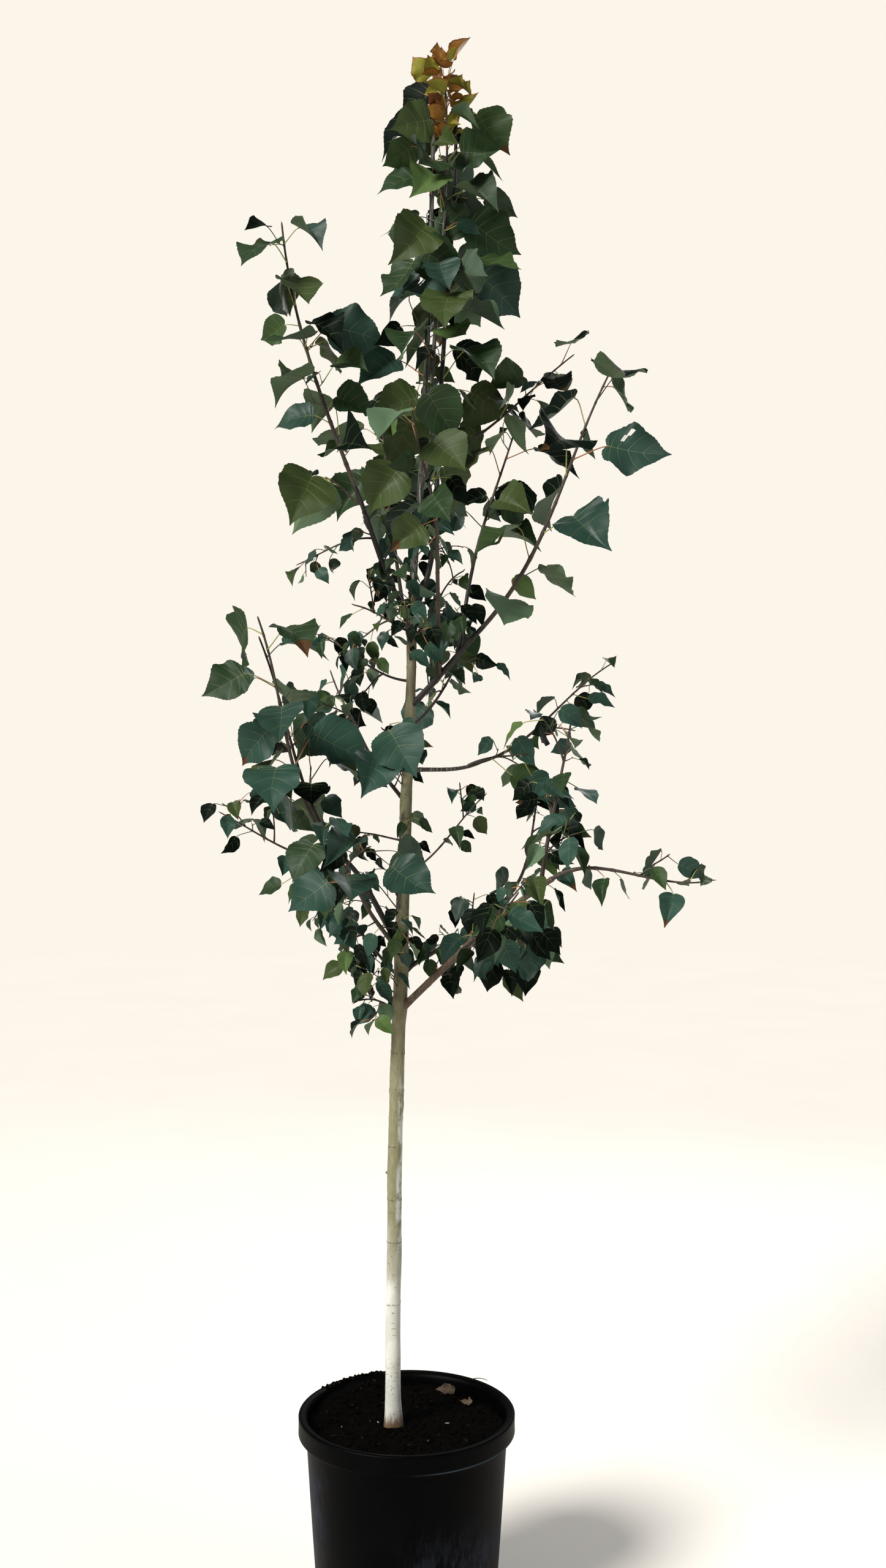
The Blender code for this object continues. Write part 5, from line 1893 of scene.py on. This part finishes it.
    def _veins(
        self, leaf: Leaf, pattern: Pattern, middle: Array, up: Array, depth: Array, upper: bool, veins: Layer
    ) -> None:
        """Adds the midrib and side veins as low ridges on one face of a blade.

        Args:
            leaf: The leaf.
            pattern: The pattern of its blade.
            middle: The points of its middle surface.
            up: The directions from there to the face.
            depth: How far the face is.
            upper: Whether it is the upper face.
            veins: The layer of veins.
        """
        centre, skin = pattern.columns, middle + up * depth
        rows = np.arange(0, round(pattern.rows * self.rib_end), self.rib_step)
        beside = units(middle[:, centre + 1] - middle[:, centre - 1])
        lift = self.vein_lift * leaf.length * (1.0 if upper else 1.5)
        wide = self.rib_width * leaf.length / 2
        self._ridge(
            skin[rows, centre], beside[rows], up[rows, centre], (wide, wide * 0.22), lift, leaf.young, veins
        )
        if not (upper or pattern.vein_both_faces):
            return
        ahead = np.gradient(middle, axis=0)
        wide = self.vein_width * leaf.length / 2
        for row in pattern.vein_rows:
            for side in (1, -1):
                columns = centre + side * np.arange(0, pattern.columns + 1)
                line = skin[row, columns].copy()
                line[-1] = line[-2] + (line[-1] - line[-2]) * 0.85
                way = units(ahead[row, columns])
                self._ridge(line, way, up[row, columns], (wide, wide * 0.2), lift * 0.6, leaf.young, veins)

    def _ridge(
        self, line: Array, beside: Array, up: Array, width: Pair, lift: float, young: bool, veins: Layer
    ) -> None:
        """Adds a low ridge along a line.

        Args:
            line: The line's points.
            beside: The directions beside it on the skin.
            up: The directions away from the skin.
            width: Half its width at its start and end.
            lift: How far it stands out.
            young: Whether the leaf is young.
            veins: The layer of veins.
        """
        beside, low = beside * np.linspace(*width, len(line))[:, None], up * (-0.25 * lift)
        height = lift * np.linspace(1.0, 0.5, len(line))[:, None]
        places = np.stack((line - beside + low, line + up * height, line + beside + low), 1)
        over = np.cross(places[1, 1] - places[0, 1], places[0, 2] - places[0, 0])
        finish = Growth.VEIN_YOUNG if young else Growth.VEIN
        veins.grid(places, finish, False, bool(np.dot(over, up[0]) > 0))


@dataclass
class Stalks:
    """Builds leaf stalks with their buds."""

    thick: Pair = (0.0011, 0.0025)
    greatest: float = 0.12
    rings: int = 9
    sides: int = 6
    flare: float = 1.1
    flare_length: float = 0.0016
    flat: float = 0.35
    bud: float = 0.0048
    bud_width: float = 0.0011
    # A bud's rings: how far along it, and how wide, as shares.
    egg: tuple = ((-0.1, 0.6), (0.25, 1.0), (0.55, 0.8), (0.82, 0.38), (1.0, 0.03))

    def add(self, leaf: Leaf, finish: Growth, layer: Layer, bud_on: Array | None) -> None:
        """Adds a stalk.

        Args:
            leaf: The leaf that it bears.
            finish: Its colour.
            layer: The layer of stalks.
            bud_on: The direction of the twig where a bud sits over the stalk's foot, or None.
        """
        reach = float(np.linalg.norm(leaf.base - leaf.root))
        way = unit(leaf.base - leaf.root)
        bend = leaf.base - leaf.along * reach * 0.16 - way * reach * 0.12
        end = leaf.base + leaf.along * leaf.length * 0.015
        size = between(self.thick, min(1.0, leaf.length / self.greatest))
        controls = np.array((leaf.root, leaf.root + way * reach * 0.4, bend, end))
        route = Route(controls, np.linspace(0.0, 1.0, 5), np.full(5, size / 2))
        shares = np.linspace(0.0, 1.0, self.rings) ** 1.3
        centres = route.smooth(shares)
        ahead = units(np.gradient(centres, axis=0))
        across = units(leaf.across - ahead * (ahead @ leaf.across)[:, None])
        flat = 1.0 - self.flat * np.clip((shares - 0.4) * 2, 0, 1)
        wide = size / 2 * (1.0 + self.flare * np.exp(-shares * reach / self.flare_length))
        ring = spokes(across * flat[:, None], np.cross(ahead, across), self.sides)
        layer.grid(centres[:, None] + ring * wide[:, None, None], finish)
        if bud_on is not None:
            lean = unit(bud_on * 1.6 + way)
            self.add_bud(leaf.root + bud_on * 0.0016, lean, self.bud, self.bud_width, layer)

    def add_bud(self, foot: Array, way: Array, reach: float, radius: float, layer: Layer) -> None:
        """Adds a bud, which is a pointed egg.

        Args:
            foot: The middle of its foot.
            way: Where it points.
            reach: Its length.
            radius: Its greatest radius.
            layer: The layer that it joins.
        """
        side = unit(np.cross(way, (0.31, 0.52, 0.79)))
        ring = spokes(side, np.cross(way, side), self.sides)
        rings = [foot + way * reach * on + ring * radius * wide for on, wide in self.egg]
        layer.grid(np.array(rings), Growth.BUD)


class Region(Enum):
    """The parts of the crown that twigs, stalks, veins and blades are joined in."""

    TOP = "top"
    UPPER = "upper"
    MIDDLE = "middle"
    LOWER = "lower"

    @classmethod
    def at(cls, height: float) -> Region:
        """The region of growth whose tip is at a height."""
        floors = ((cls.TOP, 2.9), (cls.UPPER, 2.2), (cls.MIDDLE, 1.65))
        return next((region for region, floor in floors if height > floor), cls.LOWER)


@dataclass
class Foliage:
    """The crown: each mass's stem, twigs and leaves as the solids have them, with finer spurs and shoots."""

    nodes: dict[str, bpy.types.Object]
    routes: dict[str, Route]
    stem_sides: int = 12
    twig_sides: int = 8
    spur_sides: int = 6
    stem_swell: float = 0.22
    twig_swell: float = 0.15
    collar: float = 0.3
    stem_bud: float = 0.0075
    twig_bud: float = 0.0055

    def __post_init__(self) -> None:
        """Sets out the builders and the layers that they fill."""
        self.blades, self.stalks = Blades(), Stalks()
        self.taken = Taken(self.routes["trunk"])
        self.spurs, self.shoots = Spurs(self.taken), Shoots(self.taken)
        self.layers: dict[tuple[str, Region], Layer] = {}
        self.finer_leaves = 0

    def layer(self, kind: str, height: float) -> Layer:
        """The layer of one kind of growth in the region of its tip.

        Args:
            kind: The kind.
            height: The tip's height.

        Returns:
            The layer.
        """
        region = Region.at(height)
        if (kind, region) not in self.layers:
            slot = "bark_brown" if kind == "twigs" else "leaf_green"
            self.layers[kind, region] = Layer(f"foliage_{region.value}_{kind}", slot)
        return self.layers[kind, region]

    def build(self) -> None:
        """Grows every mass and shoot, and makes the layers."""
        grown = []
        for mass in MASSES:
            solid = self.nodes[f"foliage_{mass.stem.name}"]
            grown.append((mass, *grow(mass, self.routes[mass.stem.parent], solid)))
        for _, _, leaves in grown:
            for _, _, leaf in leaves:
                self.taken.add(leaf)
        LOG.info("leaves as the solids: %d", len(self.taken.lengths))
        for mass, bearers, leaves in grown:
            self._mass(mass, bearers, leaves)
        for shoot in SHOOTS:
            limb, node = self.routes[shoot.limb], f"foliage_{shoot.limb}"
            height = float(limb.smooth(between(shoot.shares, 0.5))[2])
            finer = self.shoots.grow(shoot, limb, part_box(node) if node in self.nodes else None)
            self._finer(finer, BARKS.get(shoot.limb, Bark.BROWN), height)
        LOG.info("finer leaves: %d", self.finer_leaves)
        for layer in self.layers.values():
            layer.build()

    def _mass(self, mass: Mass, bearers: list, leaves: list) -> None:
        """Adds a mass with its spurs.

        Args:
            mass: The mass.
            bearers: Its stem and twigs as (number, route).
            leaves: Its leaves as (bearer, share, leaf).
        """
        name, height = mass.stem.name, mass.stem.tip[2] / 1000
        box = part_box(f"foliage_{name}")
        stem = self.routes[name] = bearers[0][1]
        finer = list(self.spurs.grow(mass, bearers, box)) if mass.spurs else []
        for kind in ("twigs", "blades", "veins", "stalks"):
            self.layer(kind, height).nodes.add(f"foliage_{name}")
        bark = BARKS.get(name, Bark.BROWN)
        self._wood(mass, bearers, leaves, bark)
        for bearer, share, leaf in leaves:
            self._leaf(leaf, height, bearer.tangent(share))
        self._finer(finer, bark, height)
        for leaf in self.spurs.young(mass, stem, box):
            self._leaf(leaf, height, None)

    def _finer(self, grown: Iterable[tuple[Route, list[Leaf]]], bark: Bark, height: float) -> None:
        """Adds spurs or small twigs with their leaves.

        Args:
            grown: Each one's route with its leaves.
            bark: Their bark.
            height: The height that tells their region.
        """
        for twig, leaves in grown:
            tube = Tube(twig, self.spur_sides, 0.005, collar=self.collar, seed=1)
            self.layer("twigs", height).grid(tube.places(), bark)
            for leaf in leaves:
                self._leaf(leaf, height, None)
            self.finer_leaves += len(leaves)

    def _wood(self, mass: Mass, bearers: list, leaves: list, bark: Bark) -> None:
        """Adds the stem and twigs of a mass, with their end buds.

        Args:
            mass: The mass.
            bearers: Its stem and twigs as (number, route).
            leaves: Its leaves as (bearer, share, leaf).
            bark: The bark.
        """
        layer = self.layer("twigs", mass.stem.tip[2] / 1000)
        for number, route in bearers:
            main = number is None
            sides, swell = (self.stem_sides, self.stem_swell) if main else (self.twig_sides, self.twig_swell)
            tube = Tube(
                route, sides, swell_by=swell, collar=0.0 if main and mass.stem.at == 1.0 else self.collar,
                swell_at=[share for bearer, share, _ in leaves if bearer is route], collar_at=0.004,
                cut=main and mass.stem.name in CUT_BACK, seed=mass.seed,
            )
            layer.grid(tube.places(), bark)
            if not tube.cut:
                reach, radius = self.stem_bud if main else self.twig_bud, float(route.radii[-1]) * 0.95
                self.stalks.add_bud(route.points[-1], route.tangent(1.0), reach, radius, layer)

    def _leaf(self, leaf: Leaf, height: float, ahead: Array | None) -> None:
        """Adds one leaf, with its colours dealt out by its own draws.

        Args:
            leaf: The leaf.
            height: The height that tells its region.
            ahead: The direction of its twig, where a large leaf has a bud.
        """
        rng = Random(leaf.key + " colours")
        large = leaf.length >= LARGE_LEAF
        skins, weights = (YOUNG_SKINS, (30, 60, 10)) if leaf.young else (SMALL_SKINS, (38, 17, 45))
        if large and not leaf.young:
            skins, weights = LARGE_SKINS, (50, 32, 18)
        high = 1.0 if Region.at(height) in (Region.TOP, Region.UPPER) else -1.0
        shares = [weight * LIKELIER_ABOVE.get(skin, 1.0) ** high for skin, weight in skins.items()]
        skin = rng.choices(list(skins), shares)[0]
        stalk = rng.choices((Growth.STALK_GREEN, Growth.STALK_RED, Growth.STALK_DARK), weights)[0]
        self.blades.add(leaf, skin, self.layer("blades", height), self.layer("veins", height))
        self.stalks.add(leaf, stalk, self.layer("stalks", height), ahead if large else None)


# Pot and soil.


@dataclass
class Pot:
    """The nursery pot: a tapered shell with a deep rolled lip and a foot ring."""

    height: float = 0.42
    foot: float = 0.1695
    wall: float = 0.195
    lip: float = 0.21
    lip_depth: float = 0.038
    skin: float = 0.003
    mouth: float = 0.01
    warp: float = 0.0006
    bulge: float = 0.0007
    sides: int = 144

    def inner(self, height: float) -> float:
        """The radius of the inside at a height."""
        share = (height - 0.004) / (self.height - self.mouth - 0.004)
        return between((self.foot - self.skin, self.wall - self.skin), share)

    def profile(self) -> list[Pair]:
        """The pot's section from the middle of its underside round to its floor.

        Returns:
            The points.
        """
        under, top = self.height - self.lip_depth, self.height - self.mouth
        foot, wall, lip, inside = self.foot, self.wall, self.lip, self.inner(top)
        line = [(0.0001, 0.0022), (0.05, 0.0022), (0.1, 0.0024), (0.15, 0.0024), (0.1525, 0.0008)]
        line += [(0.154, 0.0), (foot - 0.004, 0.0), *self._arc(foot - 0.004, 0.004, 0.004, -80, -5, 5)]
        for share in np.linspace(0.0, 1.0, 26)[1:-1]:
            bulge = self.bulge * math.sin(math.pi * share)
            line.append((between((foot, wall), share) + bulge, between((0.004, under), share)))
        line += [(wall, under - 0.0015), (wall + 0.0008, under + 0.0002), (lip - 0.0032, under + 0.0006)]
        line += self._arc(lip - 0.0022, under + 0.003, 0.0022, -75, 0, 5)
        line += [(lip - 0.0004, under + 0.014), (lip - 0.0003, self.height - 0.01)]
        line += self._arc(lip - 0.0045, self.height - 0.0045, 0.0045, 10, 110, 8)
        line += [(inside + 0.007, self.height - 0.0012), (inside + 0.0022, self.height - 0.0042)]
        line.append((inside, top))
        line += [(self.inner(level), level) for level in np.linspace(top - 0.01, 0.006, 14)]
        return line + [(self.inner(0.006) - 0.004, 0.004), (0.0001, 0.004)]

    def _arc(self, x: float, z: float, radius: float, start: float, end: float, count: int) -> list[Pair]:
        """So many points on an arc about (x, z), from start to end degrees."""
        turns = np.radians(np.linspace(start, end, count))
        return [(x + radius * math.cos(turn), z + radius * math.sin(turn)) for turn in turns]

    def build(self) -> None:
        """Makes the pot."""
        line = np.array(self.profile())
        radius, height = line[:, :1], line[:, 1:]
        warp = self.warp * np.sin(2 * circle(self.sides) + 0.8) * (height / self.height) * (radius > 0.01)
        places = spokes(EAST, NORTH, self.sides) * (radius + warp)[..., None] + UP * height[..., None]
        layer = Layer("pot_shell", "pot_black", {"pot"})
        layer.grid(places, Body.POT)
        layer.build().data.set_sharp_from_angle(angle=math.radians(40))


@dataclass
class Soil:
    """The potting mix: an uneven crumbly surface with crumbs, chips, flecks, a dry leaf and a bit of twig."""

    pot: Pot
    heap: float = 0.022
    heap_bearing: float = 125.0
    heap_spread: float = 38.0
    flat_radius: float = 0.062
    rings: int = 56
    sides: int = 180
    skirt: float = 0.02
    clod: float = 0.0028
    grain: float = 0.0011
    # Crumbs, chips and flecks: how many, their finish, the least and greatest size, and their shape.
    kinds: tuple = (
        (420, Ground.CRUMB, (0.0014, 0.0046), CRUMB_SHAPE),
        (60, Ground.CHIP, (0.003, 0.0085), (1.0, 0.55, 0.28)),
        (5, Ground.PALE, (0.001, 0.0026), (1.0, 0.8, 0.7)),
    )
    lump_grid: tuple[int, int] = (5, 7)
    heaped: int = 90
    heaped_sizes: Pair = (0.0014, 0.0036)
    heaped_bearings: Pair = (106.0, 148.0)
    dry_leaf: Point = (0.0735, 0.122, 0.41)
    dry_scrap: Point = (0.114, 0.078, 0.405)
    # Pale slivers: each one's place and half its length.
    slivers: tuple = ((0.0788, 0.004, 0.0055), (-0.0565, 0.008, 0.005))
    twig_on_rim: Point = (0.13, 0.15, 0.4225)
    twig_reach: Point = (0.03, -0.012, 0.002)

    def height(self, x: float, y: float) -> float:
        """The soil's surface without its crumbs.

        Args:
            x: How far right it is.
            y: How far back it is.

        Returns:
            Its height.
        """
        away = math.hypot(x - TRUNK_FOOT[0], y - TRUNK_FOOT[1])
        open_ground = min(1.0, max(0.0, (away - self.flat_radius) / 0.05))
        turn = (math.degrees(math.atan2(y, x)) - self.heap_bearing + 180) % 360 - 180
        outer = min(1.0, math.hypot(x, y) / 0.16)
        heap = self.heap * math.exp(-((turn / self.heap_spread) ** 2)) * outer**2
        rough = 0.003 * math.sin(x * 70 + 1.3) * math.cos(y * 55 - 0.4)
        return SOIL_LEVEL + open_ground * (heap + rough)

    def on_top(self, x: float, y: float) -> Point:
        """The soil's surface with its clods.

        Args:
            x: How far right it is.
            y: How far back it is.

        Returns:
            The place on it.
        """
        place = Vector((x, y, 0.0))
        clods = noise.fractal(place * 55.0, 0.9, 2.1, 4) * self.clod
        grains = noise.noise(place * 380.0) * self.grain
        return x, y, self.height(x, y) + clods + grains + 0.0006

    def build(self) -> None:
        """Makes the surface and what lies on it."""
        edge = self.pot.inner(SOIL_LEVEL)
        reach = np.maximum(0.0004, edge * np.arange(self.rings + 1) / self.rings)
        flat = spokes(EAST, NORTH, self.sides) * reach[:, None, None]
        places = np.array([[self.on_top(x, y) for x, y, _ in row] for row in flat])
        skirt = places[-1:] * FLAT + UP * (SOIL_LEVEL - self.skirt)
        layer = Layer("soil_surface", "soil_dark", {"soil"})
        layer.grid(np.concatenate((places, skirt)), Ground.SOIL)
        layer.build()
        self._litter(edge)
        self._dry_leaf()

    def _litter(self, edge: float) -> None:
        """Makes the crumbs, chips, flecks and slivers.

        Args:
            edge: The radius that they keep within.
        """
        layer = Layer("soil_litter", "soil_dark")
        for number, (count, finish, sizes, shape) in enumerate(self.kinds):
            rng = Random(f"litter {number}")
            for _ in range(count):
                reach, turn = edge * math.sqrt(rng.random()) * 0.965, rng.random() * 2 * math.pi
                size = between(sizes, rng.random() ** 2)
                place = self.on_top(reach * math.cos(turn), reach * math.sin(turn))
                self._lump(place, size, shape, rng, finish, layer)
        rng = Random("heaped crumbs")
        for _ in range(self.heaped):
            reach = between((edge, self.pot.lip - 0.003), rng.random() ** 0.5)
            turn = math.radians(between(self.heaped_bearings, rng.random()))
            place = (reach * math.cos(turn), reach * math.sin(turn), self.pot.height - 0.001)
            self._lump(place, between(self.heaped_sizes, rng.random()), CRUMB_SHAPE, rng, Ground.CRUMB, layer)
        for x, y, size in self.slivers:
            self._lump(self.on_top(x, y), size, (1.0, 0.25, 0.25), rng, Ground.PALE, layer)
        layer.build()

    def _lump(
        self, place: Point, size: float, shape: Point, rng: Random, finish: Ground, layer: Layer
    ) -> None:
        """Adds one crumb: a knobbly ball, squashed and turned.

        Args:
            place: Where it lies.
            size: Its radius.
            shape: Its radius along each axis, as shares of its size.
            rng: Its random draws.
            finish: Its finish.
            layer: The layer that it joins.
        """
        turn, tilt = rng.random() * 6.28, (rng.random() - 0.5) * 0.9
        rows, columns = self.lump_grid
        lat = np.linspace(-math.pi / 2 + 0.05, math.pi / 2 - 0.05, rows)[:, None]
        lon = circle(columns)
        knobs = 1.0 + 0.22 * np.sin(2 * lon + rng.random() * 6) * np.cos(2 * lat + rng.random() * 6)
        knobs = knobs + 0.16 * np.sin(3 * lon + 4 * lat + rng.random() * 6)
        ball = spokes(EAST, NORTH, columns) * np.cos(lat)[..., None] + UP * np.sin(lat)[..., None]
        cos, sin = math.cos(turn), math.sin(turn)
        lean = np.array(((cos, -sin, 0.0), (sin, cos, tilt), (0.0, -tilt, 1.0)))
        ball = (ball * knobs[..., None] * size * np.array(shape)) @ lean.T
        layer.grid(ball + np.array(place) + UP * size * shape[2] * 0.35, finish)

    def _dry_leaf(self) -> None:
        """Makes the curled dry leaf and a scrap of another on the soil, and the bit of twig over the rim."""
        layer = Layer("soil_dry_leaf", "soil_dark")
        blades = Blades(
            wave=(0.22, 0.34), wave_count=(1.8, 3.0), twist=2.4, bend=0.9, fold=2.4, lobes=0.16, nibble=0.06,
            scorched=0.0,
        )
        for place, length, west in ((self.dry_leaf, 0.04, -0.95), (self.dry_scrap, 0.028, -0.8)):
            along = unit(np.array((west, 0.25, 0.05)))
            face = unit(np.array((0.1, -0.75, 0.6)))
            face = unit(face - along * np.dot(face, along))
            base = np.array(place) + EAST * length / 2
            across = np.cross(face, along)
            leaf = Leaf(base, base, along, across, face, length, length * 0.7, False, f"dry {west}")
            blades.add(leaf, Skin.DRY, layer, layer)
        start = np.array(self.twig_on_rim)
        twig = curve(start, start + np.array(self.twig_reach), 20, -20, (0.0022, 0.0014), 0.01)
        layer.grid(Tube(twig, 8, 0.003, cut=True, seed=9).places(), Bark.BROWN)
        layer.build()


# Camera, floor and light.


@dataclass
class Lamp:
    """A soft light: its place, what it faces, its strength and colour, and its size in metres, or for an even
    light over the whole floor the angle that it covers in degrees."""

    name: str
    place: Point
    target: Point
    power: float
    size: float = 0.0
    angle: float = 0.0
    colour: Colour = (1.0, 1.0, 1.0)

    def build(self) -> None:
        """Makes the light, which the camera doesn't see."""
        data = bpy.data.lights.new(self.name, "AREA" if self.size else "SUN")
        if self.size:
            data.size = self.size
        else:
            data.angle = math.radians(self.angle)
        data.energy = self.power
        data.color = self.colour
        lamp = bpy.data.objects.new(self.name, data)
        lamp.location = self.place
        lamp.rotation_euler = (Vector(self.target) - Vector(self.place)).to_track_quat("-Z", "Y").to_euler()
        lamp.visible_camera = False
        bpy.context.scene.collection.objects.link(lamp)


@dataclass
class Studio:
    """The camera at the photograph's place, a pale floor, and soft light from the front left and above."""

    eye: Point = (0.0704, -2.997, 1.64)
    focal_pixels: float = 2511.0
    picture_height: float = 2560.0
    sensor: float = 36.0
    floor_size: float = 24.0
    backdrop: Colour = (0.975, 0.915, 0.825)
    sky: Colour = (0.96, 0.98, 1.0)
    sky_strength: float = 0.25
    lamps: tuple = (
        Lamp(
            "key_front_left", (-2.85, -2.75, 4.9), (0.05, 0.0, 1.9), 4.9,
            angle=22.0, colour=(1.0, 0.985, 0.955),
        ),
        Lamp("fill_right", (3.2, -1.6, 2.2), (0.05, 0.0, 1.7), 25.0, size=2.2, colour=(0.9, 0.95, 1.0)),
        Lamp("rim_back", (1.2, 3.0, 3.4), (0.05, 0.0, 1.9), 50.0, size=1.8),
    )

    def build(self) -> None:
        """Sets the camera, floor, sky and lights."""
        scene = bpy.context.scene
        data = bpy.data.cameras.new("camera")
        data.sensor_fit = "AUTO"
        data.sensor_width = self.sensor
        data.lens = self.focal_pixels / self.picture_height * self.sensor
        camera = bpy.data.objects.new("camera", data)
        camera.location = self.eye
        camera.rotation_euler = (math.radians(90), 0.0, 0.0)
        scene.collection.objects.link(camera)
        scene.camera = camera
        half = self.floor_size / 2
        mesh = bpy.data.meshes.new("floor")
        corners = [(-half, -half, 0), (half, -half, 0), (half, half, 0), (-half, half, 0)]
        mesh.from_pydata(corners, [], [(0, 1, 2, 3)])
        mesh.materials.append(FloorFinish("floor_pale").material())
        floor = bpy.data.objects.new("floor", mesh)
        scene.collection.objects.link(floor)
        self._sky(scene)
        scene.view_settings.view_transform = "Standard"
        for lamp in self.lamps:
            lamp.build()

    def _sky(self, scene: bpy.types.Scene) -> None:
        """Sets a pale backdrop all round the scene, with a dimmer cool light from it.

        Args:
            scene: The scene.
        """
        world = bpy.data.worlds.new("sky")
        world.use_nodes = True
        tree = world.node_tree
        light, seen = tree.nodes["Background"], tree.nodes.new("ShaderNodeBackground")
        for node, colour, strength in ((light, self.sky, self.sky_strength), (seen, self.backdrop, 1.0)):
            node.inputs["Color"].default_value = (*colour, 1.0)
            node.inputs["Strength"].default_value = strength
        path, mix = tree.nodes.new("ShaderNodeLightPath"), tree.nodes.new("ShaderNodeMixShader")
        for place, start in enumerate((path.outputs["Is Camera Ray"], light.outputs[0], seen.outputs[0])):
            tree.links.new(start, mix.inputs[place])
        tree.links.new(mix.outputs[0], tree.nodes["World Output"].inputs["Surface"])
        scene.world = world


def limb_routes() -> dict[str, Route]:
    """The routes of the trunk and boughs.

    Returns:
        Each limb's route by name.
    """
    routes = {"trunk": trunk_route()}
    for limb in BOUGHS:
        routes[limb.name] = limb_route(limb, routes[limb.parent], BOUGH_STEP)
    return routes


def main() -> None:
    """Builds everything in order; the building logs how many leaves the solids have, the finer leaves, and
    each piece's triangles.
    """
    logging.basicConfig(level=logging.INFO, format="%(name)s %(message)s")
    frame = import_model()
    Studio().build()
    routes = limb_routes()
    pot = Pot()
    pot.build()
    Soil(pot).build()
    Trunk().build(routes)
    Boughs().build(routes)
    Foliage(frame["nodes"], routes).build()
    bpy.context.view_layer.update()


if __name__ == "__main__":
    main()
